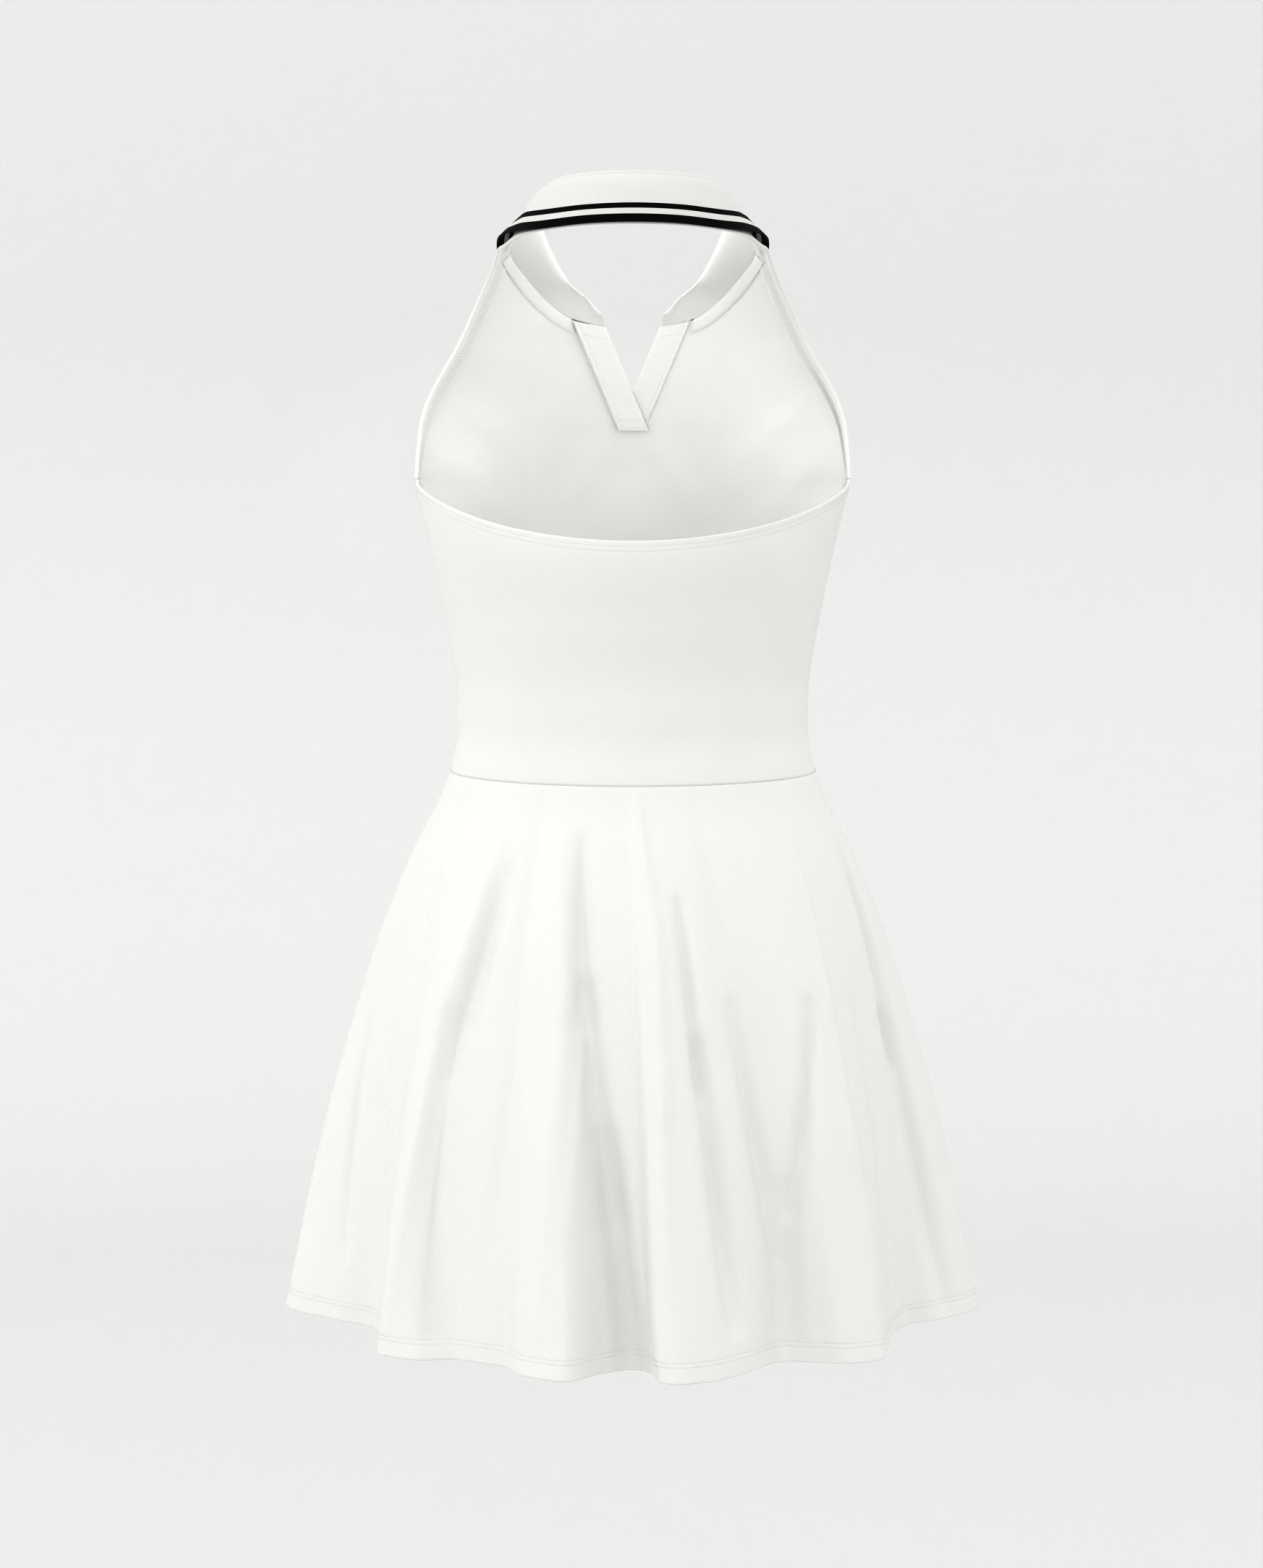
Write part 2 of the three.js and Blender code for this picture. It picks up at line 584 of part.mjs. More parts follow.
// One band of the front opening. lap is how far it reaches past the slot's side, foot how far it
// runs below the slot, and depth how far its middle lies inside the front's.
function placketBand(side, lap, foot, depth) {
  const length = SLOT_TOP.z - SLOT_FOOT.z;
  const slope = (SLOT_TOP.x - SLOT_FOOT.x) / length;
  const grid = stepsFrom(0, 1, BAND_ROWS).map((down) => stepsFrom(0, 1, 4).map((inward) => {
    const topZ = mix(SLOT_TOP.z, NECK.seam[LAST_STATION].z, inward) - SEAM_GAP;
    const z = mix(topZ, SLOT_FOOT.z - foot, down);
    const sideX = SLOT_FOOT.x + slope * (z - SLOT_FOOT.z);
    const x = side * mix(sideX + lap, sideX - BAND_WIDTH, inward);
    const across = acrossAt(x, z);
    return {
      place: frontPlace(across, z),
      out: outFront(across, z),
      outside: BAND_CLOTH / 2 - depth,
      inside: BAND_CLOTH / 2 + depth,
    };
  }));
  return clothGeometry(grid);
}

// Moves a point out until it stands clear of the front's surface by at least a distance.
function clearOfFront(point, distance) {
  let { x, z } = point;
  let place = onFront(x, z);
  let out = outFront(acrossAt(x, z), z);
  for (let k = 0; k < 4; k += 1) {
    const apart = point.clone().sub(place);
    const slip = apart.addScaledVector(out, -apart.dot(out));
    x += slip.x;
    z += slip.z;
    place = onFront(x, z);
    out = outFront(acrossAt(x, z), z);
  }
  const height = point.clone().sub(place).dot(out);
  return height < distance ? point.clone().addScaledVector(out, distance - height) : point;
}

// The folded collar: up the stand from its seam, over the fold, and down the leaf to its edge.
function collar() {
  const grid = stepsFrom(-LAST_STATION, LAST_STATION, 2 * LAST_STATION * COLLAR_STEPS).map((station) => {
    const seam = neckPoint('seam', station);
    const fold = neckPoint('fold', station);
    const edge = neckPoint('edge', station);
    const up = fold.clone().sub(seam).normalize();
    const out = edge.clone().sub(seam);
    out.addScaledVector(up, -out.dot(up)).normalize();
    const centre = fold.clone().addScaledVector(up, -FOLD_RADIUS);
    const standTop = centre.clone().addScaledVector(out, -FOLD_RADIUS);
    const leafTop = centre.clone().addScaledVector(out, FOLD_RADIUS);
    const inFront = THREE.MathUtils.smoothstep(Math.abs(station), SHOULDER_STATION - 1.5, SHOULDER_STATION);
    const foot = seam.clone().addScaledVector(up, COLLAR_CLOTH / 2);
    const points = stepsFrom(0, 1, 3).map((t) => foot.clone().lerp(standTop, t));
    for (const degrees of [135, 90, 45]) {
      points.push(centre.clone()
        .addScaledVector(out, FOLD_RADIUS * Math.cos(radians(degrees)))
        .addScaledVector(up, FOLD_RADIUS * Math.sin(radians(degrees))));
    }
    for (const t of stepsFrom(0, 1, LEAF_STEPS)) {
      const bow = LEAF_ROLL * Math.sin(Math.PI * t ** LEAF_SKEW);
      const point = leafTop.clone().lerp(edge, t).addScaledVector(out, bow);
      const crossed = THREE.MathUtils.smoothstep(t, 0, LEAF_CROSSING);
      const clear = mix(-LEAF_CLEARANCE, LEAF_CLEARANCE, crossed);
      points.push(point.lerp(clearOfFront(point, clear), inFront));
    }
    return points.map((place, k) => {
      const before = points[Math.max(k - 1, 0)];
      const after = points[Math.min(k + 1, points.length - 1)];
      const along = neckPoint('fold', station + 0.05).sub(neckPoint('fold', station - 0.05));
      const normal = after.clone().sub(before).cross(along).normalize();
      return { place, out: normal, outside: COLLAR_CLOTH / 2, inside: COLLAR_CLOTH / 2 };
    });
  });
  return clothGeometry(grid);
}

const dress = new THREE.Group();
function add(name, geometry, material) {
  const mesh = new THREE.Mesh(geometry, material);
  mesh.name = name;
  dress.add(mesh);
}

add('bodice_back', backPanel(), jersey);
add('bodice_front', frontPanel(), jersey);
add('skirt_back', skirtPanel(-90, 90), jersey);
add('skirt_front', skirtPanel(90, 270), jersey);
add('armhole_binding', armholeBinding(), tapeCloth);
add('neck_tape_left', neckTape(-1), tapeCloth);
add('neck_tape_right', neckTape(1), tapeCloth);
add('placket_left', placketBand(-1, BAND_LAP, BAND_FOOT, BAND_CLOTH + SEAM_GAP), bandCloth);
add('placket_right', placketBand(1, -SEAM_GAP, -SEAM_GAP, 0), bandCloth);
add('collar', collar(), rib);

export default dress;
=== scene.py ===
import math

import bpy
import numpy as np
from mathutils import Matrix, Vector


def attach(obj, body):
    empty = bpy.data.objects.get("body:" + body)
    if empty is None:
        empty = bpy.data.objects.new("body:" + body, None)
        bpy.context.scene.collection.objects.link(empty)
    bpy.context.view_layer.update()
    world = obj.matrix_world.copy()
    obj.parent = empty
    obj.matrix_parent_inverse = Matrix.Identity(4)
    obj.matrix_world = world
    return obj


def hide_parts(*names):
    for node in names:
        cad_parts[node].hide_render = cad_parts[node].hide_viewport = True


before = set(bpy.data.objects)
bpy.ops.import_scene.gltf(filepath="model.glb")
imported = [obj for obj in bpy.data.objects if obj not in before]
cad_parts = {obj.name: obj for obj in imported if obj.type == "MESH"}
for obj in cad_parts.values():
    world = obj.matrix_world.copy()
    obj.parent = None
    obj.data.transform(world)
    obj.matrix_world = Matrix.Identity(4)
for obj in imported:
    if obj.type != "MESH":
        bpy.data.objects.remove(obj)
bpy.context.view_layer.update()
bpy.ops.object.select_all(action="DESELECT")

MM = 0.001

# Sizes, as in the part's source
JERSEY = 0.8  # thickness of one layer of jersey
FOLD_R = 0.55  # radius of a turned hem, to the middle of the cloth
SEAM_ROLL, SEAM_ROLL_WIDTH = 0.22, 1.4  # how far a seamed edge dips inwards, and how wide
STITCH_DIP, STITCH_DIP_WIDTH = 0.13, 0.9  # the same under a row of stitches
SEAM_HALF = 0.45  # from a seam to the middle of a turned-in edge
EDGE_SHARE = 0.72  # of that half, for the turned edge itself
SEAM_TURN = (0.6, 1.5, 3, 5)  # how far in a seamed edge is turned, step by step

UNDERARM_Z = -176
BACK_DIP, BACK_DIP_POWER = 42.5, 1.17
WAIST_Z, WAIST_DIP = -381, 4.5
HEM_Z = -768
TOP_HEM = 8
SKIRT_HEM = 14

SLOT_TOP = (41.7, -62.2)
SLOT_FOOT = (10.2, -135.5)
BAND_WIDTH, BAND_LAP, BAND_FOOT = 20.2, 1.5, 3

FOLD_RADIUS = 2.3
LEAF_CLEARANCE, LEAF_CROSSING, LEAF_ROLL, LEAF_SKEW = 5.5, 0.15, 3.5, 0.6

BUST = dict(depth=13, x=70, z=-206, spread_x=44, spread_up=62, spread_down=44)

# z, half width at the edge, depth of the edge, depth of the middle, share of a quarter turn
FRONT_SECTIONS = np.array([
    (-8, 89, -14, 36, 0.76), (-20, 94.7, -4, 43, 0.76), (-32, 99.7, 6, 49.5, 0.76),
    (-57, 112, 20, 62, 0.77), (-83, 124.8, 31, 75, 0.79), (-108, 140.1, 35, 86, 0.82),
    (-121, 146.4, 33, 91.5, 0.85), (-133, 150.2, 28, 96, 0.89), (-146, 151.6, 20, 101, 0.94),
    (-176, 152.3, 0, 109, 1), (-197, 147.7, 0, 111, 1), (-222, 142, 0, 109, 1),
    (-248, 136.4, 0, 103, 1), (-299, 126.8, 0, 91, 1), (-325, 123.5, 0, 88, 1),
    (-351, 123.3, 0, 88, 1), (-386, 130, 0, 92, 1),
])
# z, depth
BACK_SECTIONS = np.array([(-176, 98), (-222, 99), (-274, 90), (-325, 82), (-351, 82), (-386, 87)])
# z, half width, depth behind, depth in front
SKIRT_SECTIONS = np.array([
    (-381, 129, 86.5, 91.5), (-403, 137.7, 96, 98), (-428, 150.8, 110, 107), (-454, 163, 123, 116),
    (-507, 183.3, 145, 134), (-559, 199.6, 161, 150), (-611, 214.8, 175, 164),
    (-664, 228, 187, 177), (-717, 239.5, 198, 189), (-768, 250, 208, 200),
])
FOLD_ONSET = 1.3
# lines down the skirt: degrees at the waist, degrees at the hem, how far the hem stands out there
FOLD_LINES = np.array([
    (-80, -78, -34), (-66, -66, -53), (-56, -55, -42), (-47, -46, -15), (-41, -39.5, -18),
    (-35, -32, -34), (-27, -23, -31), (-22, -17.6, -12), (-17, -10.6, -3), (-10, -4.5, -28),
    (-6, -1, -34), (-1.5, 2.6, -28), (0.5, 3.9, -5), (3, 7, 2), (8, 12.5, -3),
    (15, 18.8, -19), (26, 27, -36), (32, 33, -25), (37, 37.2, -12), (43, 43.2, -6.5),
    (48, 48.4, -21), (62, 62, -46), (70, 69.5, -48), (80, 80, -24), (93, 93, 0),
    (106, 107, -40), (116, 117, -10), (121, 122, -4), (134, 134, -38), (142, 142, -20),
    (149, 149, -3), (162, 163, -37), (172, 172, -9), (178, 178, 0), (191, 191, -32),
    (198, 198, -35), (208, 209, -5), (214, 215, -12), (225, 226, -39), (239, 239, -4),
    (245, 245, -16), (256, 256, -39), (267, 267, 0),
])
NECK_SEAM = [
    (0, -72, 4), (27, -69, 3.6), (53, -55.5, 2), (72, -33, -1.5), (82, -14, -8.5),
    (86.6, None, -18.5), (78.3, None, -30.6), (63, None, -47.4), (45, None, -60), (20.6, None, -66),
]
NECK_FOLD = [
    (0, -70, 31), (30, -65.5, 30), (51.5, -50.5, 27.5), (61, -28, 19.5), (63.5, -7, 8),
    (61, 9, -2.5), (54, 24, -19), (43.5, 38, -36), (31.5, 49, -45.5), (24.3, 57, -56),
]
NECK_EDGE = [
    (0, -86, -4), (32, -82, -4.8), (62, -63, -6.8), (80.5, -34, -6), (92, -8, -7),
    (95.5, 14, -13.5), (93, 35, -33), (86, 54, -60), (75, 72, -88), (60, 88, -117),
]
NECK_TAPE = [
    (0, -73, -3.8), (28, -70, -4.2), (56, -57, -6), (76.5, -34.5, -8.5), (88, -15, -14),
    (94.2, None, -19), (84, None, -36.5), (67.8, None, -54), (48.5, None, -67.5), (22, None, -74.5),
]
SHOULDER_STATION, SLOT_STATION, LAST_STATION = 5, 8.12, 9
FOOT_SHARE, SLOT_SHARE = 0.08, 0.34


# The dress's form
def through(xs, ys, x):
    """A smooth curve through knots that never overshoots them. xs may differ from place to place."""
    x, ys = np.asarray(x, float), np.asarray(ys, float)
    xs = np.broadcast_to(xs, x.shape + ys.shape)
    ys = np.broadcast_to(ys, xs.shape)
    slope = np.diff(ys) / np.diff(xs)
    before, after = slope[..., :-1], slope[..., 1:]
    both = before * after
    inner = np.where(both > 0, 2 * both / np.where(both > 0, before + after, 1), 0)
    tangent = np.concatenate([slope[..., :1], inner, slope[..., -1:]], -1)
    k = np.clip((xs <= x[..., None]).sum(-1) - 1, 0, xs.shape[-1] - 2)[..., None]

    def pick(values, index):
        return np.take_along_axis(values, index, -1)[..., 0]

    width = pick(xs, k + 1) - pick(xs, k)
    t = np.clip((x - pick(xs, k)) / width, 0, 1)
    return (
        (2 * t**3 - 3 * t**2 + 1) * pick(ys, k)
        + (t**3 - 2 * t**2 + t) * width * pick(tangent, k)
        + (3 * t**2 - 2 * t**3) * pick(ys, k + 1)
        + (t**3 - t**2) * width * pick(tangent, k + 1)
    )


def grids(a, b):
    return np.broadcast_arrays(np.asarray(a, float), np.asarray(b, float))


def by_height(table, column, z):
    return through(-table[:, 0], table[:, column], -np.asarray(z, float))


def smoothstep(x, low, high):
    t = np.clip((np.asarray(x, float) - low) / (high - low), 0, 1)
    return t * t * (3 - 2 * t)


def mix(a, b, t):
    return a + (b - a) * t


def front_place(across, z):
    across, z = grids(across, z)
    quarter = by_height(FRONT_SECTIONS, 4, z) * np.pi / 2
    angle = across * quarter
    x = by_height(FRONT_SECTIONS, 1, z) * np.sin(angle) / np.sin(quarter)
    bow = (np.cos(angle) - np.cos(quarter)) / (1 - np.cos(quarter))
    spread = np.where(z > BUST["z"], BUST["spread_up"], BUST["spread_down"])
    height = np.exp(-(((z - BUST["z"]) / spread) ** 2))
    sides = sum(np.exp(-(((x - at) / BUST["spread_x"]) ** 2)) for at in (BUST["x"], -BUST["x"]))
    fullness = BUST["depth"] * height * sides * np.minimum(1, 3 * (1 - np.abs(across)))
    y = mix(by_height(FRONT_SECTIONS, 2, z), by_height(FRONT_SECTIONS, 3, z), bow) + fullness
    return np.stack([x, y, z], -1)


def across_at(x, z):
    quarter = by_height(FRONT_SECTIONS, 4, z) * np.pi / 2
    sine = np.clip(x / by_height(FRONT_SECTIONS, 1, z) * np.sin(quarter), -1, 1)
    return np.arcsin(sine) / quarter


def on_front(x, z):
    return front_place(across_at(x, z), z)


def back_place(degrees, z):
    degrees, z = grids(degrees, z)
    angle = np.radians(degrees)
    return np.stack([
        by_height(FRONT_SECTIONS, 1, z) * np.sin(angle),
        -by_height(BACK_SECTIONS, 1, z) * np.cos(angle),
        z,
    ], -1)


def back_top_z(degrees):
    return UNDERARM_Z - BACK_DIP * np.cos(np.radians(degrees)) ** BACK_DIP_POWER


def waist_z(degrees):
    return WAIST_Z - WAIST_DIP * np.abs(np.cos(np.radians(degrees)))


def fold_out(degrees, share):
    """How far the skirt stands out of its smooth shape: the fold lines, fading in from the waist."""
    degrees, share = grids(degrees, share)
    lines = mix(FOLD_LINES[:, 0], FOLD_LINES[:, 1], share[..., None])
    knots = np.concatenate([lines[..., -2:] - 360, lines, lines[..., :2] + 360], -1)
    depths = np.concatenate([FOLD_LINES[-2:, 2], FOLD_LINES[:, 2], FOLD_LINES[:2, 2]])
    return through(knots, depths, degrees) * np.clip(share, 0, None) ** FOLD_ONSET


def skirt_place(degrees, share):
    degrees, share = grids(degrees, share)
    z = mix(waist_z(degrees), HEM_Z, share)
    angle = np.radians(degrees)
    half = by_height(SKIRT_SECTIONS, 1, z)
    depth = np.where(
        np.cos(angle) > 0, by_height(SKIRT_SECTIONS, 2, z), by_height(SKIRT_SECTIONS, 3, z)
    )
    fold = fold_out(degrees, share)
    out_x, out_y = np.sin(angle) / half, -np.cos(angle) / depth
    length = np.hypot(out_x, out_y)
    return np.stack([
        half * np.sin(angle) + fold * out_x / length,
        -depth * np.cos(angle) + fold * out_y / length,
        z,
    ], -1)


def neck_line(rows):
    points = [on_front(x, z) if y is None else np.array([x, y, z], float) for x, y, z in rows]
    return np.array([np.asarray(p, float).reshape(3) for p in points])


NECK = {
    "seam": neck_line(NECK_SEAM),
    "fold": neck_line(NECK_FOLD),
    "edge": neck_line(NECK_EDGE),
    "tape": neck_line(NECK_TAPE),
}


def neck_point(line, station):
    """A point of a neck line, from station -9 on the wearer's left over the nape to 9."""
    half = NECK[line]

    def at(k):
        k_in = np.minimum(np.abs(k), LAST_STATION).astype(int)
        point = half[k_in].copy()
        past = np.abs(k) > LAST_STATION
        mirror = half[np.clip(2 * LAST_STATION - np.abs(k), 0, LAST_STATION).astype(int)]
        point = np.where(past[:, None], 2 * point - mirror, point)
        point[:, 0] *= np.where(k < 0, -1, 1)
        return point

    station = np.atleast_1d(np.asarray(station, float))
    k = np.floor(station)
    t = (station - k)[:, None]
    a, b, c, d = (at(k + n) for n in (-1, 0, 1, 2))
    return 0.5 * (
        2 * b + (c - a) * t + (2 * a - 5 * b + 4 * c - d) * t**2 + (3 * b - a - 3 * c + d) * t**3
    )


def unit(v):
    return v / np.maximum(np.linalg.norm(v, axis=-1, keepdims=True), 1e-12)


def outward(surface, u, v, step_u, step_v, toward):
    """Unit normals of a surface, turned to the side that toward points to."""
    along_u = surface(u + step_u, v) - surface(u - step_u, v)
    along_v = surface(u, v + step_v) - surface(u, v - step_v)
    normal = unit(np.cross(along_u, along_v))
    side = np.sum(normal * toward, -1, keepdims=True)
    return np.where(side < 0, -normal, normal)


def out_front(across, z):
    return outward(front_place, across, z, 1e-4, 0.01, np.array([0, 1, 0]))


def out_back(degrees, z):
    return outward(back_place, degrees, z, 0.01, 0.01, np.array([0, -1, 0]))


def out_skirt(degrees, share):
    angle = np.radians(degrees)
    toward = np.stack([np.sin(angle), -np.cos(angle), 0 * angle], -1)
    return outward(skirt_place, degrees, share, 0.01, 1e-4, toward)


# Cloth
def neat(obj, degrees=40):
    """Smooth shading with crisp cut edges."""
    bpy.ops.object.select_all(action="DESELECT")
    obj.select_set(True)
    bpy.context.view_layer.objects.active = obj
    bpy.ops.object.shade_smooth_by_angle(angle=math.radians(degrees))
    obj.select_set(False)


def give_finish(obj, material):
    obj.data.materials.clear()
    obj.data.materials.append(material)
    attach(obj, "root")


def cloth(name, places, thickness, toward, material, lengths=None):
    """A sheet of cloth through a grid of places in millimetres, row by row, and its cut. toward is
    a grid of directions that the cloth's right side faces. lengths holds each place's distances
    along and across the cloth, which become its UV map."""
    rows, columns = places.shape[:2]
    lengths = run_lengths(places) if lengths is None else lengths
    bpy.ops.mesh.primitive_grid_add(x_subdivisions=columns - 1, y_subdivisions=rows - 1, size=1)
    obj = bpy.context.object
    obj.name = obj.data.name = name
    mesh = obj.data
    flat = np.empty(len(mesh.vertices) * 3)
    mesh.vertices.foreach_get("co", flat)
    flat = flat.reshape(-1, 3)
    column = np.rint((flat[:, 0] + 0.5) * (columns - 1)).astype(int)
    row = np.rint((0.5 - flat[:, 1]) * (rows - 1)).astype(int)
    mesh.vertices.foreach_set("co", (places[row, column] * MM).ravel())
    corner = np.empty(len(mesh.loops), int)
    mesh.loops.foreach_get("vertex_index", corner)
    mesh.uv_layers.active.data.foreach_set("uv", (lengths[row, column][corner] * MM).ravel())
    mesh.update()
    normals = np.empty(len(mesh.polygons) * 3)
    mesh.polygons.foreach_get("normal", normals)
    first = corner[::4]
    if np.sum(normals.reshape(-1, 3) * toward[row[first], column[first]]) < 0:
        mesh.flip_normals()
    wall = obj.modifiers.new("wall", "SOLIDIFY")
    wall.thickness = thickness * MM
    wall.offset = 0
    bpy.ops.object.modifier_apply(modifier=wall.name)
    neat(obj)
    give_finish(obj, material)
    return obj, cut_of(places)


def run_lengths(places):
    """Distances along the rows, from the middle column, and down the columns of a grid."""
    columns = places.shape[1]
    across = np.linalg.norm(np.diff(places, axis=1), axis=2)
    down = np.linalg.norm(np.diff(places, axis=0), axis=2)
    u = np.pad(np.cumsum(across, 1), ((0, 0), (1, 0)))
    v = np.pad(np.cumsum(down, 0), ((1, 0), (0, 0)))
    return np.stack([u - u[:, columns // 2][:, None], v], 2)


def cut_of(places):
    """A sheet's flat width, length and area, in metres, with its turned edges."""
    a, b, c, d = places[:-1, :-1], places[1:, :-1], places[1:, 1:], places[:-1, 1:]
    doubled = sum(np.linalg.norm(np.cross(p, q), axis=2) for p, q in ((b - a, c - a), (c - a, d - a)))
    width = np.linalg.norm(np.diff(places, axis=1), axis=2).sum(1).max() * MM
    length = np.linalg.norm(np.diff(places, axis=0), axis=2).sum(0).max() * MM
    return {"flat": (width, length), "area": doubled.sum() / 2 * MM * MM}


def roll(distance):
    """How far in a seamed edge dips, at a distance from it."""
    return SEAM_ROLL * np.exp(-((distance / SEAM_ROLL_WIDTH) ** 2))


def stitch_dip(distance, rows):
    """How far in rows of stitches pull the cloth."""
    return sum(STITCH_DIP * np.exp(-(((distance - row) / STITCH_DIP_WIDTH) ** 2)) for row in rows)


def crease_depth(a, b, creases):
    """Soft troughs and ridges, listed one by one. Each row: start and end in the sheet's own two
    measures, width, and height out of the cloth (troughs are negative)."""
    total = np.zeros(np.broadcast(a, b).shape)
    for a0, b0, a1, b1, width, height in creases:
        run_a, run_b = a1 - a0, b1 - b0
        t = ((a - a0) * run_a + (b - b0) * run_b) / (run_a**2 + run_b**2)
        near = np.clip(t, 0, 1)
        apart = np.hypot(a - a0 - near * run_a, b - b0 - near * run_b)
        ends = np.sin(np.pi * np.clip(0.12 + 0.76 * near, 0, 1)) ** 0.8
        total += height * ends * np.exp(-((apart / width) ** 2))
    return total


def fine_ends(first, last, near, count):
    """Values from first to last, with closer ones at distances near from both ends."""
    near = np.asarray(near, float)
    middle = np.linspace(first + near[-1], last - near[-1], count)[1:-1]
    return np.concatenate([first + near, middle, (last - near)[::-1]])


def hem_layers(depth, stitched, reach):
    """Rows of a turned edge, as (distance from the edge, how far in, how far past it): up the inner
    layer, round the fold, and along the outer layer to reach, closer where rows are stitched."""
    inner = [(d, 2 * FOLD_R, 0) for d in np.linspace(depth, FOLD_R + 1, 6)]
    turned = np.linspace(math.pi, 0, 7)
    fold = [(FOLD_R, FOLD_R - FOLD_R * math.cos(a), FOLD_R * math.sin(a)) for a in turned]
    close = [row + step for row in stitched for step in (-1.7, -0.8, 0, 0.8, 1.7)]
    outer = sorted({FOLD_R + 1, reach, *(d for d in close if d > FOLD_R + 1.2)})
    return inner + fold + [(d, 0, 0) for d in outer]


def turn_shares(layers, depth):
    """How much of each layer's ends is turned in along a side seam: nothing where the edge is
    doubled, nor in the rows turned in at the waist."""
    doubled = [inward > 0 or past > 0 for _, inward, past in layers]
    distance = np.array([layer[0] if np.ndim(layer[0]) == 0 else layer[0].min() for layer in layers])
    share = np.where(doubled, 0, smoothstep(distance, depth, depth + 3))
    return np.concatenate([share[:-1], np.zeros(1 + len(SEAM_TURN))])[:, None]


def layered(skin, second, columns, layers):
    """Places and outward directions of a panel with a turned edge. skin(u, w) gives the cloth and
    second(u, d) the measure w at a distance d from the edge."""
    places, outs = [], []
    for distance, inward, past in layers:
        place, out = skin(columns, second(columns, distance))
        further, _ = skin(columns, second(columns, distance + 1))
        places.append(place - out * inward + unit(place - further) * past)
        outs.append(out)
    return np.array(places), np.array(outs)


def turned_in(edge, before, seam, half, axis, share=1.0):
    """The last rows of a panel at a seam, which lies at seam along an axis. With a share of 1 they
    turn in along it by SEAM_TURN, and with 0 the cloth ends there flat. They keep half a thickness
    from the seam, a turned edge a little less."""
    towards = -unit(edge * np.array([1, 1, 0]))
    towards[..., axis] = 0
    flat_end = edge.copy()
    flat_end[..., axis] = seam + half
    rows = []
    for k, step in enumerate((0, *SEAM_TURN), 1):
        turned = edge + towards * step
        turned[..., axis] = seam + half * (1 if step else EDGE_SHARE)
        rows.append(mix(mix(before, flat_end, k / (1 + len(SEAM_TURN))), turned, share))
    return rows


def seamed_sides(places, outs, seam, half, share=1.0):
    """Ends both sides of a panel along their seams, at y = seam."""
    left = turned_in(places[:, 0], places[:, 1], seam, half, 1, share)
    right = turned_in(places[:, -1], places[:, -2], seam, half, 1, share)
    count = len(left)
    places = np.concatenate([np.stack(left[::-1], 1), places[:, 1:-1], np.stack(right, 1)], 1)
    first, last = (np.repeat(outs[:, end][:, None], count, 1) for end in (0, -1))
    return places, np.concatenate([first, outs[:, 1:-1], last], 1)


# Panels
SEAM_CLOSE = np.array([0, 0.7, 1.5, 2.5, 4, 6.5])  # rows and columns near a seam
SIDE_RUN = 165  # about the front's half width, along the cloth
BACK_RUN, FRONT_RUN = 160, 190  # about the cloth from the back's edge and the bust to the waist
BACK_PER_DEGREE, WAIST_PER_DEGREE, SKIRT_PER_DEGREE = 1.9, 2.2, 3  # about the cloth in a degree
BACK_REACH, SKIRT_REACH = 11, 17  # from a turned edge, where the plain cloth begins
NECK_LIFT = 0.3  # from the neck seam down to the front's edge
SKIRT_LENGTH = WAIST_Z - HEM_Z
BACK_ROWS_STITCHED = (3.4, 6.8)
HEM_ROWS_STITCHED = (10.2, 13.2)

# x, height, twice; width and height out of the cloth
BACK_CREASES = [
    (84, -238, 96, -318, 15, -2.2), (108, -226, 110, -300, 13, 1.3), (-64, -332, -26, -372, 16, -1.1),
    (44, -348, 6, -376, 15, -0.9), (-126, -196, -100, -262, 14, -1.3), (104, -330, 86, -372, 14, -1.2),
    (-84, -236, -96, -306, 20, -1),
]
FRONT_CREASES = [
    (-136, -154, -98, -200, 11, -2), (-126, -124, -88, -150, 9, -1.1), (136, -156, 98, -204, 11, -2),
    (126, -122, 90, -154, 9, -1.2), (-60, -84, -78, -152, 14, 1.3), (62, -86, 80, -160, 14, 1.2),
    (-24, -250, -30, -330, 18, 1.5), (38, -262, 30, -340, 17, -1.4), (-80, -262, -66, -345, 15, -1.6),
    (84, -268, 70, -350, 14, -1.5), (14, -148, 50, -196, 12, -1.4), (-18, -148, -48, -192, 12, -1.3),
]
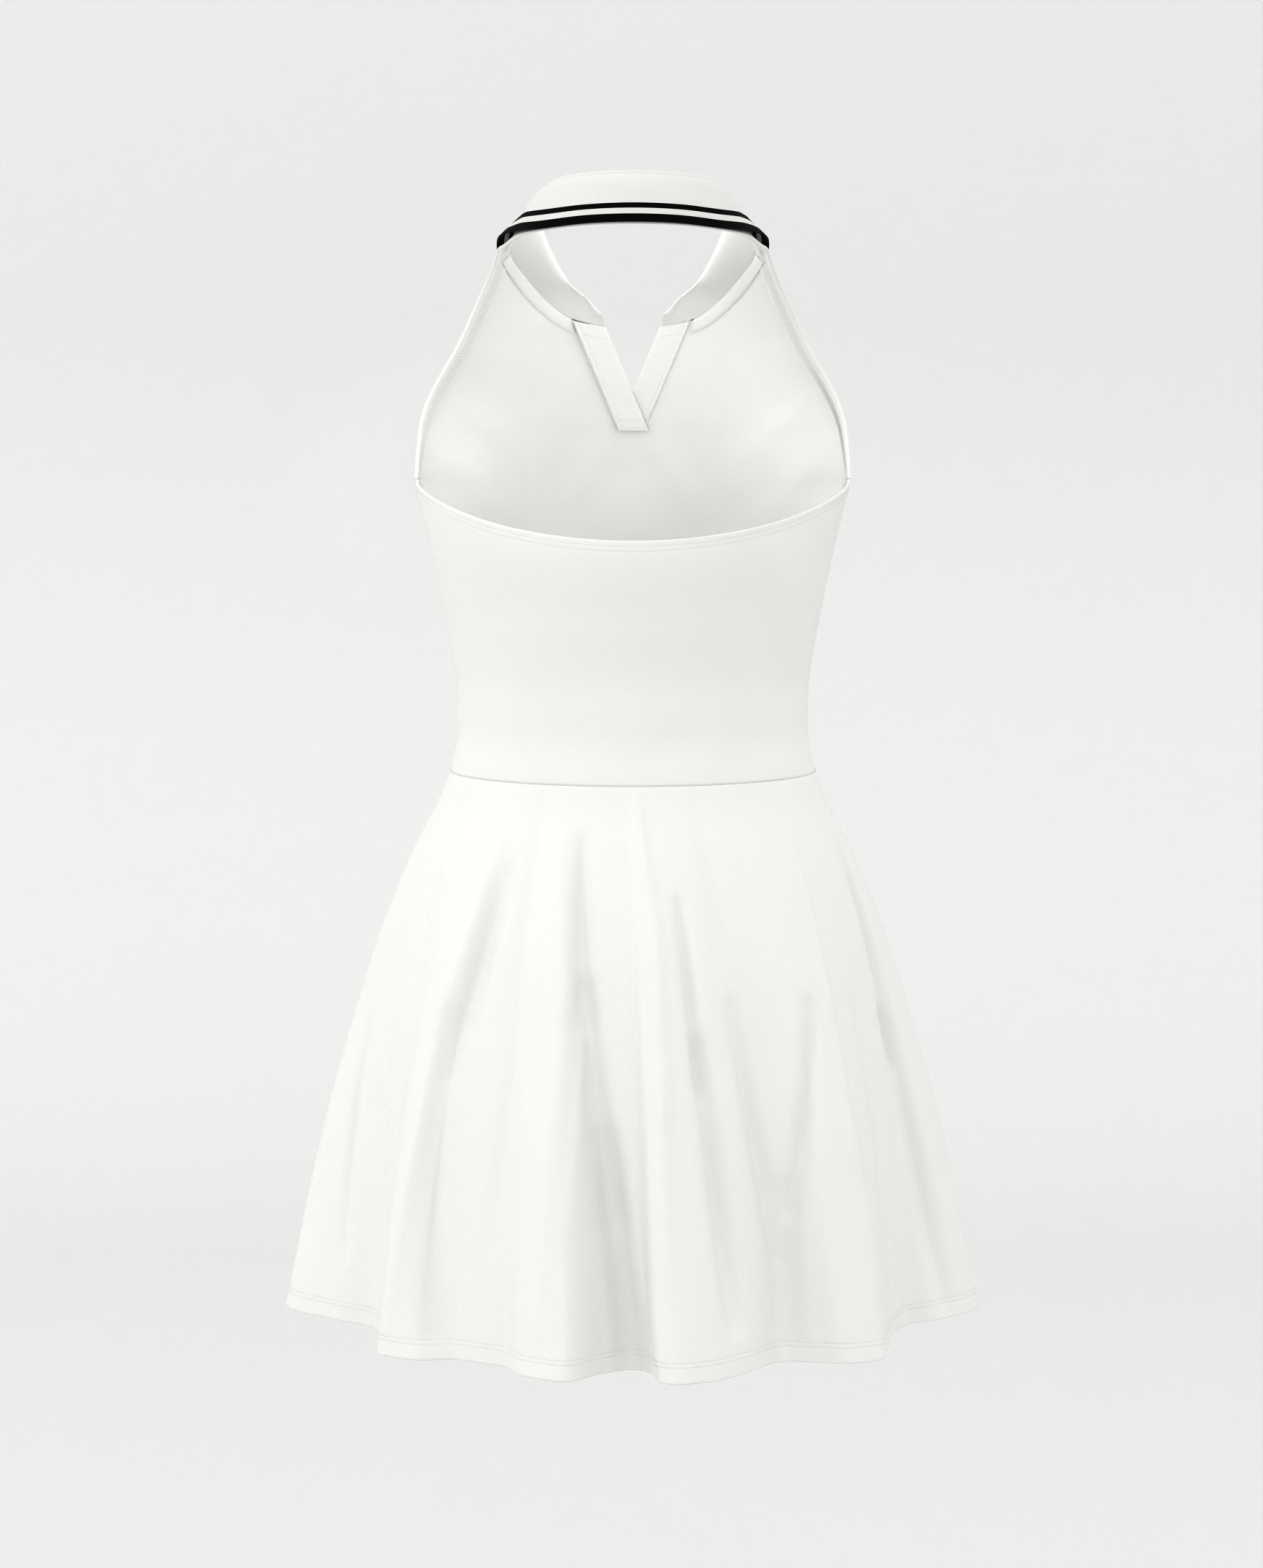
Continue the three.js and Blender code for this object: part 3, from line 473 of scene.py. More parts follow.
# degrees, share of the way down, twice; width and height in mm
SKIRT_CREASES = [
    (-37.5, 0.1, -43, 0.42, 7, 2.4), (-43, 0.36, -46, 0.96, 6, 2.8),
    (-33, 0.16, -39, 0.5, 8, -6), (-40, 0.42, -36.5, 0.95, 12, -9.5),
    (-19, 0.1, -14, 0.38, 7, 2.4), (-14, 0.34, -15.5, 0.92, 6, 2.2),
    (-13, 0.1, -9.5, 0.4, 7, -6.5), (-9.5, 0.34, -3.5, 0.74, 8, -7.5),
    (-5, 0.6, 0.6, 1.03, 8, -7),
    (1.2, 0.02, 5.2, 0.28, 5, 2), (5.2, 0.22, 5.4, 0.56, 5, 2.2), (5.4, 0.48, 4, 0.97, 4.5, 2),
    (10.8, 0.2, 13, 0.52, 5, -6), (13, 0.44, 17, 0.92, 6, -8.5),
    (21, 0.38, 27, 0.82, 6, -6), (39.5, 0.38, 30, 0.74, 5.5, -6.5), (29.4, 0.7, 28, 0.98, 9, -6.5),
    (46.8, 0.12, 44.6, 0.4, 4, 1.8), (44.6, 0.35, 43.6, 0.65, 4, 2.2), (43.6, 0.6, 47.5, 0.97, 4, 2.2),
    (75, 0.14, 74.6, 0.52, 8, -6.5), (74.6, 0.44, 80, 0.98, 8, -8), (-81, 0.46, -76.5, 0.88, 5, -4),
    (-62, 0.03, -58, 0.34, 10, -1.8), (-27, 0.03, -24, 0.4, 8, -1.8), (-24, 0.44, -26, 0.8, 7, -1.8),
    (-9.6, 0.36, -10.6, 0.74, 3.2, 1.3), (19, 0.04, 22, 0.36, 9, -1.5), (-66, 0.52, -64, 0.92, 7, -1.8),
    (58, 0.4, 60, 0.9, 9, -1.8), (118, 0.05, 120, 0.42, 9, 1.8), (121, 0.4, 122, 0.92, 6, 2),
    (132, 0.2, 134, 0.9, 9, -2.9), (147, 0.15, 149, 0.6, 6, 2.2), (158, 0.12, 162, 0.55, 9, -3.3),
    (162, 0.5, 163, 0.94, 9, -2.9), (176, 0.05, 178, 0.45, 6, 2), (178, 0.42, 177, 0.92, 5, 2),
    (191, 0.18, 194, 0.6, 9, -3.4), (206, 0.12, 208, 0.52, 6, 2), (208, 0.48, 210, 0.94, 5, 1.7),
    (223, 0.16, 225, 0.88, 9, -3.1), (237, 0.14, 239, 0.6, 7, 2.1), (255, 0.18, 256, 0.9, 9, -3.1),
]
CREASE_PER_DEGREE = 3.2  # round the skirt, for the creases' widths


def back_skin(degrees, z):
    place, out = back_place(degrees, z), out_back(degrees, z)
    relief = crease_depth(place[..., 0], z, BACK_CREASES)
    relief = relief - stitch_dip(back_top_z(degrees) - z, BACK_ROWS_STITCHED)
    relief = relief - roll((90 - np.abs(degrees)) * BACK_PER_DEGREE) - roll(z - waist_z(degrees))
    return place + out * relief[..., None], out


def front_skin(across, z):
    across, z = grids(across, z)
    place, out = front_place(across, z), out_front(across, z)
    below = smoothstep(-z, -UNDERARM_Z, -UNDERARM_Z + 2)
    relief = crease_depth(place[..., 0], z, FRONT_CREASES)
    relief = relief - roll((1 - np.abs(across)) * SIDE_RUN) * below - roll(z - waist_z(90 * across))
    return place + out * relief[..., None], out


def skirt_skin(degrees, share):
    degrees, share = grids(degrees, share)
    place, out = skirt_place(degrees, share), out_skirt(degrees, share)
    stretched = [
        (a * CREASE_PER_DEGREE, b * SKIRT_LENGTH, c * CREASE_PER_DEGREE, d * SKIRT_LENGTH, width, height)
        for a, b, c, d, width, height in SKIRT_CREASES
    ]
    relief = crease_depth(degrees * CREASE_PER_DEGREE, share * SKIRT_LENGTH, stretched)
    to_side = np.abs((degrees % 180) - 90) * WAIST_PER_DEGREE * (1 + share)
    relief = relief - stitch_dip((1 - share) * SKIRT_LENGTH, HEM_ROWS_STITCHED)
    relief = relief - roll(to_side) - roll(share * SKIRT_LENGTH)
    return place + out * relief[..., None], out


def seamed_waist(places, outs, degrees, half):
    """Turns a panel's last row in along the waist seam."""
    rows = turned_in(places[-1], places[-2], waist_z(degrees), half, 2)
    return np.concatenate([places[:-1], rows]), np.concatenate([outs[:-1], [outs[-1]] * len(rows)])


def back_bodice(material):
    columns = fine_ends(-90, 90, SEAM_CLOSE / BACK_PER_DEGREE, 120)
    height = back_top_z(columns) - waist_z(columns)
    layers = hem_layers(TOP_HEM, BACK_ROWS_STITCHED, BACK_REACH)
    body = fine_ends(0, 1, SEAM_CLOSE / BACK_RUN, 60)[1:]
    layers += [(mix(BACK_REACH, height - SEAM_HALF, t), 0, 0) for t in body]
    places, outs = layered(back_skin, lambda u, d: back_top_z(u) - d, columns, layers)
    places, outs = seamed_waist(places, outs, columns, SEAM_HALF)
    places, outs = seamed_sides(places, outs, 0, -SEAM_HALF, turn_shares(layers, TOP_HEM))
    return cloth("back_bodice", places, JERSEY, outs, material)


def neckline(station):
    seam, tape = neck_point("seam", station), neck_point("tape", station)
    return mix(seam, tape, NECK_LIFT / np.linalg.norm(seam - tape, axis=1)[:, None])


def front_top(share):
    """The front's top edge at a share of its half width: the slot's foot, the slot's side, then the
    neckline out to the armhole."""
    x, z = np.empty(share.shape), np.empty(share.shape)
    foot = share <= FOOT_SHARE
    neck = share > SLOT_SHARE
    slot = ~foot & ~neck
    x[foot], z[foot] = SLOT_FOOT[0] * share[foot] / FOOT_SHARE, SLOT_FOOT[1]
    t = (share[slot] - FOOT_SHARE) / (SLOT_SHARE - FOOT_SHARE)
    x[slot], z[slot] = mix(SLOT_FOOT[0], SLOT_TOP[0], t), mix(SLOT_FOOT[1], SLOT_TOP[1], t)
    t = (share[neck] - SLOT_SHARE) / (1 - SLOT_SHARE)
    line = neckline(mix(SLOT_STATION, SHOULDER_STATION, t))
    x[neck], z[neck] = line[:, 0], line[:, 2]
    return x, z


def edge_share(z):
    """The share of the front's half width that its binding takes up."""
    small = 0.01
    return TOP_HEM * small / np.linalg.norm(front_place(1.0, z) - front_place(1 - small, z), axis=-1)


def front_row_z(row, top_z, column):
    bust_z = mix(BUST["z"], UNDERARM_Z, smoothstep(np.abs(column), 0, 1))
    return mix(top_z, bust_z, row) if row < 1 else mix(bust_z, waist_z(90 * column), row - 1)


def front_bodice(material):
    half = np.concatenate([
        np.linspace(0, FOOT_SHARE, 5),
        np.linspace(FOOT_SHARE, SLOT_SHARE, 24)[1:],
        np.linspace(SLOT_SHARE, 1, 50)[1:],
    ])
    columns = np.concatenate([-half[:0:-1], half])
    side = np.sign(columns)
    top_x, top_z = front_top(np.abs(columns))
    edge_steps = 6
    lower_rows = fine_ends(0, 1, SEAM_CLOSE / FRONT_RUN, 50)
    rows = np.concatenate([np.linspace(0, 1, 64)[:-1], 1 + lower_rows])
    places, outs = [], []
    for row in rows:
        z = np.maximum(front_row_z(row, top_z, columns), waist_z(90 * columns) + SEAM_HALF)
        widest = 1 - edge_share(z)
        start = side * np.where(np.abs(columns) < 1, np.abs(across_at(top_x, top_z)), widest)
        across = mix(start, columns * widest, smoothstep(row, 0, 1.5))
        right = np.linspace(across[-1], 1, edge_steps)[1:]
        across = np.concatenate([-right[::-1], across, right])
        z = np.concatenate([np.full(edge_steps - 1, z[0]), z, np.full(edge_steps - 1, z[-1])])
        place, out = front_skin(across, z)
        places.append(place)
        outs.append(out)
    places, outs = seamed_waist(np.array(places), np.array(outs), 90 * across, SEAM_HALF)
    below = smoothstep(-places[:, 0, 2], -UNDERARM_Z, -UNDERARM_Z + 3)[:, None]
    armhole_y = places[:, 0, 1] * (1 - below[:, 0])
    places, outs = seamed_sides(places, outs, armhole_y, SEAM_HALF * below[:, 0], below)
    return cloth("front_bodice", places, JERSEY, outs, material)


def skirt_half(name, first, last, count, material):
    columns = fine_ends(first, last, SEAM_CLOSE / SKIRT_PER_DEGREE, count)
    layers = hem_layers(SKIRT_HEM, HEM_ROWS_STITCHED, SKIRT_REACH)
    body = fine_ends(0, 1, SEAM_CLOSE / SKIRT_LENGTH, 86)[1:]
    layers += [(mix(SKIRT_REACH, SKIRT_LENGTH - SEAM_HALF, t), 0, 0) for t in body]
    places, outs = layered(skirt_skin, lambda u, d: 1 - d / SKIRT_LENGTH, columns, layers)
    places, outs = seamed_waist(places, outs, columns, -SEAM_HALF)
    half = SEAM_HALF if first == 90 else -SEAM_HALF
    places, outs = seamed_sides(places, outs, 0, half, turn_shares(layers, SKIRT_HEM))
    return cloth(name, places, JERSEY, outs, material)


# Neck, armholes and front opening
RIB = 1.3  # thickness of the collar
TAPE = 0.7  # thickness of binding and tape
EASE = 0.1  # between two layers sewn together
BINDING_SHOWN = 1.7  # the armhole binding's width, as a share of the edge it covers
TAPE_TOP, TAPE_FOOT = (4.93, 8.04), (5.3, 8.28)  # the neck tapes' ends, as neck stations
COLLAR_CREASES = [
    (-60, 26, -18, 20, 9, -0.8), (24, 28, 66, 20, 8, -0.9), (-8, 30, 14, 24, 10, 0.6),
    (92, 30, 104, 10, 8, -0.9), (-96, 30, -110, 8, 8, -0.8), (150, 24, 168, 12, 10, 0.8),
    (-146, 22, -170, 12, 10, 0.8), (60, 12, 84, 8, 7, 0.5), (-84, 12, -58, 8, 7, 0.5),
]


def clear_of_front(point, distance):
    """Moves points out until they stand clear of the front's surface by at least a distance."""
    x, z = point[..., 0].copy(), point[..., 2].copy()
    for _ in range(4):
        across = across_at(x, z)
        place, out = front_place(across, z), out_front(across, z)
        apart = point - place
        slip = apart - out * np.sum(apart * out, -1, keepdims=True)
        x, z = x + slip[..., 0], z + slip[..., 2]
    across = across_at(x, z)
    place, out = front_place(across, z), out_front(across, z)
    height = np.sum((point - place) * out, -1)
    return point + out * np.maximum(distance - height, 0)[..., None]


def collar(material):
    """The folded collar, from its leaf's edge over the fold and down the stand to its seam."""
    station = np.linspace(-LAST_STATION, LAST_STATION, 12 * LAST_STATION + 1)
    seam, fold, edge = (neck_point(line, station) for line in ("seam", "fold", "edge"))
    up = unit(fold - seam)
    out = edge - seam
    out = unit(out - up * np.sum(out * up, -1, keepdims=True))
    centre = fold - up * FOLD_RADIUS
    stand_top, leaf_top = centre - out * FOLD_RADIUS, centre + out * FOLD_RADIUS
    in_front = smoothstep(np.abs(station), SHOULDER_STATION - 1.5, SHOULDER_STATION)[:, None]
    rows = []
    for t in np.concatenate([np.linspace(1, 0.7, 9), np.linspace(0.7, 0, 18)[1:]]):
        point = mix(leaf_top, edge, t) + out * LEAF_ROLL * math.sin(math.pi * t**LEAF_SKEW)
        clear = mix(-LEAF_CLEARANCE, LEAF_CLEARANCE, float(smoothstep(t, 0, LEAF_CROSSING)))
        rows.append(mix(point, clear_of_front(point, clear), in_front))
    for degrees in range(20, 161, 20):
        angle = math.radians(degrees)
        rows.append(centre + out * FOLD_RADIUS * math.cos(angle) + up * FOLD_RADIUS * math.sin(angle))
    foot = seam + up * 0.15
    rows += [mix(stand_top, foot, t) for t in np.linspace(0, 1, 14)]
    places = np.array(rows)
    lengths = run_lengths(places)
    outs = unit(np.cross(np.gradient(places, axis=1), np.gradient(places, axis=0)))
    outs *= np.sign(np.sum(outs[2, len(station) // 2] * out[len(station) // 2]))
    places = places + outs * crease_depth(lengths[..., 0], lengths[..., 1], COLLAR_CREASES)[..., None]
    soft = in_front[None] * smoothstep(lengths[..., 1], 14, 24)[..., None]
    for _ in range(36):
        between = (places[:-2] + 2 * places[1:-1] + places[2:]) / 4
        places[1:-1] = mix(places[1:-1], between, soft[1:-1])
    return cloth("collar_knit", places, RIB, outs, material, lengths)


def armhole_line():
    """The binding's inner edge, its outer edge, and outward directions, all along it."""
    rows = np.linspace(1, 0, 46)
    tip_z = neckline(np.array([SHOULDER_STATION]))[0, 2]
    arm = {}
    for side in (-1, 1):
        z = np.array([front_row_z(row, tip_z, side) for row in rows])
        z[0] = UNDERARM_Z + 0.6
        edge, out = front_skin(side * 1.0, z)
        inner, _ = front_skin(side * (1 - BINDING_SHOWN * edge_share(z)), z)
        arm[side] = inner, edge, out
    last = SHOULDER_STATION - 0.12
    station = np.linspace(-last, last, 97)
    seam, tape = neck_point("seam", station), neck_point("tape", station)
    inner = mix(tape, seam, 1 - NECK_LIFT / TOP_HEM)
    along = np.gradient(tape, axis=0)
    out = unit(np.cross(along, seam - tape))
    out *= np.sign(np.sum(out * seam * (1, 1, 0), -1, keepdims=True))
    middle = inner, tape, out
    joined = [np.concatenate([arm[-1][k], middle[k], arm[1][k][::-1]]) for k in range(3)]
    for k in range(3):
        for _ in range(6):
            joined[k][1:-1] = joined[k][1:-1] / 2 + joined[k][:-2] / 4 + joined[k][2:] / 4
    return joined[0], joined[1], unit(joined[2])


def armhole_binding(line, material):
    """A binding folded over the edge, so that it shows on both sides of the front."""
    inner, edge, out = line
    away = JERSEY / 2 + EASE + TAPE / 2
    across = unit(edge - inner)
    width = np.linalg.norm(edge - inner, axis=1)[:, None]
    rows = [inner + across * width * t - out * away for t in (0, 0.06, 0.2, 0.4, 0.6, 0.8, 0.95)]
    for angle in np.linspace(math.pi, 0, 9):
        rows.append(edge + across * 0.9 * away * math.sin(angle) * 0.6 + out * away * math.cos(angle))
    rows += [inner + across * width * t + out * away for t in (0.95, 0.8, 0.6, 0.4, 0.2, 0.06, 0)]
    outs = np.concatenate([-out[None]] * 7 + [across[None]] * 9 + [out[None]] * 7)
    return cloth("armhole_binding_tape", np.array(rows), TAPE, outs, material)


def tape_edges():
    """Shares along a neck tape, and its upper and lower edges there."""
    along = np.linspace(0, 1, 60)
    return along, neck_point("seam", mix(*TAPE_TOP, along)), neck_point("tape", mix(*TAPE_FOOT, along))


def neck_tape(side, material):
    name = "neck_tape_cloth_left" if side < 0 else "neck_tape_cloth_right"
    along, upper, lower = tape_edges()
    rows, outs = [], []
    for t in (0, 0.1, 0.25, 0.5, 0.75, 0.9, 1.0):
        point = mix(upper, lower, t)
        place, out = front_skin(side * across_at(point[:, 0], point[:, 2]), point[:, 2])
        over_binding = (TAPE + 2 * EASE) * (1 - smoothstep(along, 0.03, 0.13))
        away = JERSEY / 2 + EASE + TAPE / 2 + 0.25 * math.sin(math.pi * t) + over_binding
        rows.append(place - out * away[:, None])
        outs.append(-out)
    return cloth(name, np.array(rows), TAPE, np.array(outs), material)


def band_line(side, lap, foot, down, inward, depth):
    """A place on a placket band: down its length, and inward from its sewn edge to its fold, both
    from 0 to 1, with the band's depth inside the front."""
    slope = (SLOT_TOP[0] - SLOT_FOOT[0]) / (SLOT_TOP[1] - SLOT_FOOT[1])
    seam = neck_point("seam", np.linspace(LAST_STATION, SLOT_STATION - 0.3, 30))
    top_x = mix(SLOT_TOP[0] + lap, SLOT_TOP[0] - BAND_WIDTH, inward)
    top_z = np.interp(top_x, seam[:, 0], seam[:, 2]) - 0.1
    z = mix(top_z, SLOT_FOOT[1] - foot, down)
    side_x = SLOT_FOOT[0] + slope * (z - SLOT_FOOT[1])
    x = side * mix(side_x + lap, side_x - BAND_WIDTH, inward)
    place, out = front_skin(across_at(x, z), z)
    return place - out * depth, out


def placket_band(side, lap, foot, depth, material):
    """A band of two layers, folded at the opening, with a raised seam along its sewn edge."""
    name = "placket_band_left" if side < 0 else "placket_band_right"
    down = np.linspace(0, 1, 60)
    layer = (JERSEY + EASE) / 2
    spots = np.array([0, 0.6, 1.1, 1.6, 2.2, 2.9, 4, 7, 10, 13, 16, 18.6]) / BAND_WIDTH

    def at(inward):
        return band_line(side, lap, foot, down, inward, depth)

    rows, outs = [], []
    for across in spots:
        place, out = at(across)
        ridge = 0.9 * math.exp(-(((across * BAND_WIDTH - 1.0) / 0.6) ** 2))
        ridge -= 0.25 * math.exp(-(((across * BAND_WIDTH - 2.3) / 0.7) ** 2))
        rows.append(place - out * (layer + ridge))
        outs.append(-out)
    for angle in np.linspace(math.pi, 0, 7)[1:-1]:
        place, out = at(1 - 0.6 / BAND_WIDTH)
        nearer, _ = at(0.9)
        rows.append(place + out * layer * math.cos(angle) + unit(place - nearer) * 0.6 * math.sin(angle))
        outs.append(unit(place - nearer))
    for across in spots[::-1]:
        place, out = at(across)
        rows.append(place + out * layer)
        outs.append(out)
    return cloth(name, np.array(rows), JERSEY, np.array(outs), material)


# Sewing
STITCH_PITCH, STITCH_LENGTH, STITCH_WIDTH = 2.5, 1.6, 0.42


def stitch_shape():
    """Corners and faces of one short loop of thread, a unit long along X."""
    bpy.ops.mesh.primitive_uv_sphere_add(segments=6, ring_count=4, radius=0.5)
    one = bpy.context.object
    one.rotation_euler = (0, math.radians(90), 0)
    bpy.ops.object.transform_apply(location=False, rotation=True, scale=False)
    corners = np.array([v.co for v in one.data.vertices])
    faces = [list(p.vertices) for p in one.data.polygons]
    bpy.data.objects.remove(one, do_unlink=True)
    return corners, faces


def spaced(places, outs, pitch, start=0.5):
    """Places and outward directions at an even pitch along a line."""
    run = np.concatenate([[0], np.cumsum(np.linalg.norm(np.diff(places, axis=0), axis=1))])
    at = np.arange(pitch * start, run[-1], pitch)
    place = np.stack([np.interp(at, run, places[:, k]) for k in range(3)], 1)
    out = np.stack([np.interp(at, run, outs[:, k]) for k in range(3)], 1)
    return place, unit(out)


def row_of_stitches(places, outs, pitch=STITCH_PITCH, length=STITCH_LENGTH):
    place, out = spaced(places, outs, pitch)
    along = unit(np.gradient(place, axis=0))
    return [place, along * length, unit(np.cross(out, along)) * STITCH_WIDTH, out * STITCH_WIDTH * 0.7]


def zigzag(first, second, outs, pitch=STITCH_PITCH):
    """Threads that cross from one row of stitches to the other and back."""
    a, out = spaced(first, outs, pitch, 0.25)
    b, _ = spaced(second, outs, pitch, 0.75)
    count = min(len(a), len(b))
    a, b, out = a[:count], b[:count], out[:count]
    starts, ends = np.concatenate([a, b[:-1]]), np.concatenate([b, a[1:]])
    out = np.concatenate([out, out[:-1]])
    along = ends - starts
    side = unit(np.cross(out, along))
    return [(starts + ends) / 2, along * 1.05, side * STITCH_WIDTH * 0.7, out * STITCH_WIDTH * 0.6]


def sewing(name, rows, shape, material):
    """All the stitches of one seam or edge as one piece. Each row: places, and the stitches' three
    axes."""
    corners, faces = shape
    place, along, side, out = (np.concatenate([row[k] for row in rows]) for k in range(4))
    points = (
        place[:, None]
        + corners[None, :, 0:1] * along[:, None]
        + corners[None, :, 1:2] * side[:, None]
        + corners[None, :, 2:3] * out[:, None]
    ) * MM
    count, each = points.shape[:2]
    totals = np.array([len(face) for face in faces])
    flat = np.concatenate([np.array(face) for face in faces])
    loops = (flat[None] + each * np.arange(count)[:, None]).ravel()
    all_totals = np.tile(totals, count)
    mesh = bpy.data.meshes.new(name)
    mesh.vertices.add(count * each)
    mesh.vertices.foreach_set("co", points.ravel())
    mesh.loops.add(len(loops))
    mesh.loops.foreach_set("vertex_index", loops)
    mesh.polygons.add(len(all_totals))
    mesh.polygons.foreach_set("loop_start", np.cumsum(all_totals) - all_totals)
    mesh.polygons.foreach_set("loop_total", all_totals)
    mesh.update(calc_edges=True)
    obj = bpy.data.objects.new(name, mesh)
    bpy.context.collection.objects.link(obj)
    bpy.context.view_layer.objects.active = obj
    obj.select_set(True)
    bpy.ops.object.mode_set(mode="EDIT")
    bpy.ops.mesh.select_all(action="SELECT")
    bpy.ops.mesh.normals_make_consistent(inside=False)
    bpy.ops.object.mode_set(mode="OBJECT")
    neat(obj, 80)
    give_finish(obj, material)
    return obj


def on_top(skin, u, w):
    place, out = skin(u, w)
    return place + out * (JERSEY / 2), out


# Finishes
def socket(tree, kind, name, in_out, default=None):
    made = tree.interface.new_socket(name, in_out=in_out, socket_type=kind)
    if default is not None:
        made.default_value = default
    return made


def wire(tree, kind, inputs, **settings):
    """A node with its inputs set to values or linked to other nodes' outputs."""
    node = tree.nodes.new(kind)
    for key, value in settings.items():
        setattr(node, key, value)
    for key, value in inputs.items():
        if isinstance(value, bpy.types.NodeSocket):
            tree.links.new(value, node.inputs[key])
        else:
            node.inputs[key].default_value = value
    return node


def math_node(tree, operation, a, b=0.0):
    return wire(tree, "ShaderNodeMath", {0: a, 1: b}, operation=operation).outputs[0]


def knit_group():
    """Columns of knitted loops: wales across and courses down a UV map in metres."""
    tree = bpy.data.node_groups.new("knit", "ShaderNodeTree")
    socket(tree, "NodeSocketVector", "Vector", "INPUT")
    socket(tree, "NodeSocketFloat", "Wale", "INPUT", 0.0006)
    socket(tree, "NodeSocketFloat", "Course", "INPUT", 0.0005)
    socket(tree, "NodeSocketFloat", "Height", "OUTPUT")
    given = tree.nodes.new("NodeGroupInput")
    result = tree.nodes.new("NodeGroupOutput")
    split = wire(tree, "ShaderNodeSeparateXYZ", {0: given.outputs["Vector"]})
    column = math_node(tree, "DIVIDE", split.outputs["X"], given.outputs["Wale"])
    course = math_node(tree, "DIVIDE", split.outputs["Y"], given.outputs["Course"])
    across = math_node(tree, "SINE", math_node(tree, "MULTIPLY", column, math.pi))
    wale = math_node(tree, "ABSOLUTE", across)
    leg = math_node(tree, "PINGPONG", column, 0.5)
    turned = math_node(tree, "MULTIPLY", math_node(tree, "ADD", course, leg), 2 * math.pi)
    loop = math_node(tree, "MULTIPLY_ADD", math_node(tree, "SINE", turned), 0.25)
    loop.node.inputs[2].default_value = 0.75
    tree.links.new(math_node(tree, "MULTIPLY", wale, loop), result.inputs["Height"])
    return tree


def mottle_group():
    """Slow, faint variation over the cloth."""
    tree = bpy.data.node_groups.new("mottle", "ShaderNodeTree")
    socket(tree, "NodeSocketVector", "Vector", "INPUT")
    socket(tree, "NodeSocketFloat", "Scale", "INPUT", 20.0)
    socket(tree, "NodeSocketFloat", "Amount", "OUTPUT")
    given = tree.nodes.new("NodeGroupInput")
    result = tree.nodes.new("NodeGroupOutput")
    noise = wire(tree, "ShaderNodeTexNoise", {
        "Vector": given.outputs["Vector"], "Scale": given.outputs["Scale"],
        "Detail": 4.0, "Roughness": 0.55,
    })
    tree.links.new(noise.outputs["Fac"], result.inputs["Amount"])
    return tree


def use_group(tree, group, inputs):
    return wire(tree, "ShaderNodeGroup", inputs, node_tree=group).outputs[0]


def mixed(tree, factor, first, second):
    """One colour going over into another; each is a colour or another node's output."""
    inputs = {0: factor}
    for k, colour in ((6, first), (7, second)):
        inputs[k] = (*colour, 1) if isinstance(colour, tuple) else colour
    return wire(tree, "ShaderNodeMix", inputs, data_type="RGBA").outputs[2]


def striped(tree, given, ground, stripes):
    """A ground colour with black stripes knitted in, at distances in metres from the edge."""
    split = wire(tree, "ShaderNodeSeparateXYZ", {0: given.outputs["UV"]})
    mask = 0.0
    for near, far in stripes:
        past = math_node(tree, "GREATER_THAN", split.outputs["Y"], near)
        before = math_node(tree, "LESS_THAN", split.outputs["Y"], far)
        mask = math_node(tree, "MAXIMUM", math_node(tree, "MULTIPLY", past, before), mask)
    return mixed(tree, mask, ground, BLACK_YARN)


CLOTH_FINISH = {
    "Roughness": 0.88, "Specular IOR Level": 0.25, "Sheen Weight": 0.1, "Sheen Roughness": 0.6,
}


def cloth_material(name, light, shade, wale, course, knit_depth, pucker, stripes=()):
    """Cloth: knitted loops, a faint mottle in its colour, slight unevenness, and any stripes."""
    material = bpy.data.materials.new(name)
    material.use_nodes = True
    tree = material.node_tree
    shader = tree.nodes["Principled BSDF"]
    for key, value in CLOTH_FINISH.items():
        shader.inputs[key].default_value = value
    given = tree.nodes.new("ShaderNodeTexCoord")
    amount = use_group(tree, MOTTLE, {"Vector": given.outputs["Object"], "Scale": 16.0})
    colour = mixed(tree, amount, light, shade)
    if stripes:
        colour = striped(tree, given, colour, stripes)
    tree.links.new(colour, shader.inputs["Base Color"])
    fine = use_group(tree, MOTTLE, {"Vector": given.outputs["Object"], "Scale": 95.0})
    uneven = wire(tree, "ShaderNodeBump", {"Height": fine, "Strength": pucker, "Distance": 0.0012})
    loops = use_group(tree, KNIT, {"Vector": given.outputs["UV"], "Wale": wale, "Course": course})
    knit = wire(tree, "ShaderNodeBump", {
        "Height": loops, "Strength": 0.5, "Distance": knit_depth, "Normal": uneven.outputs["Normal"],
    })
    tree.links.new(knit.outputs["Normal"], shader.inputs["Normal"])
    return material


KNIT, MOTTLE = knit_group(), mottle_group()
WHITE, WHITE_SHADE = (0.812, 0.808, 0.798), (0.80, 0.796, 0.787)
RIB_WHITE, RIB_SHADE = (0.765, 0.762, 0.752), (0.75, 0.748, 0.737)
# the thread is white cloth greyed down: painted shade for the dark dots of its stitch holes, mottled at
# random
THREAD_PAINTED_SHADE, THREAD_PAINTED_SHADE_DEEPER = (0.70, 0.70, 0.69), (0.67, 0.67, 0.66)
BLACK_YARN = (0.012, 0.010, 0.0105)
STRIPES = [(-0.001, 0.0053), (0.00935, 0.0129)]

jersey = cloth_material("jersey", WHITE, WHITE_SHADE, 0.0007, 0.0006, 0.00006, 0.02)
rib = cloth_material("collar_knit", RIB_WHITE, RIB_SHADE, 0.0011, 0.0009, 0.00012, 0.04, STRIPES)
binding = cloth_material("binding", WHITE, WHITE_SHADE, 0.0008, 0.0006, 0.00005, 0.04)
band = cloth_material("placket", WHITE, WHITE_SHADE, 0.0007, 0.0006, 0.00004, 0.03)
# thread: its grey is painted shade, so that rows of stitches show as dark dotted lines
thread = cloth_material("thread", THREAD_PAINTED_SHADE, THREAD_PAINTED_SHADE_DEEPER, 0.0004, 0.0004, 0.00004, 0.0)

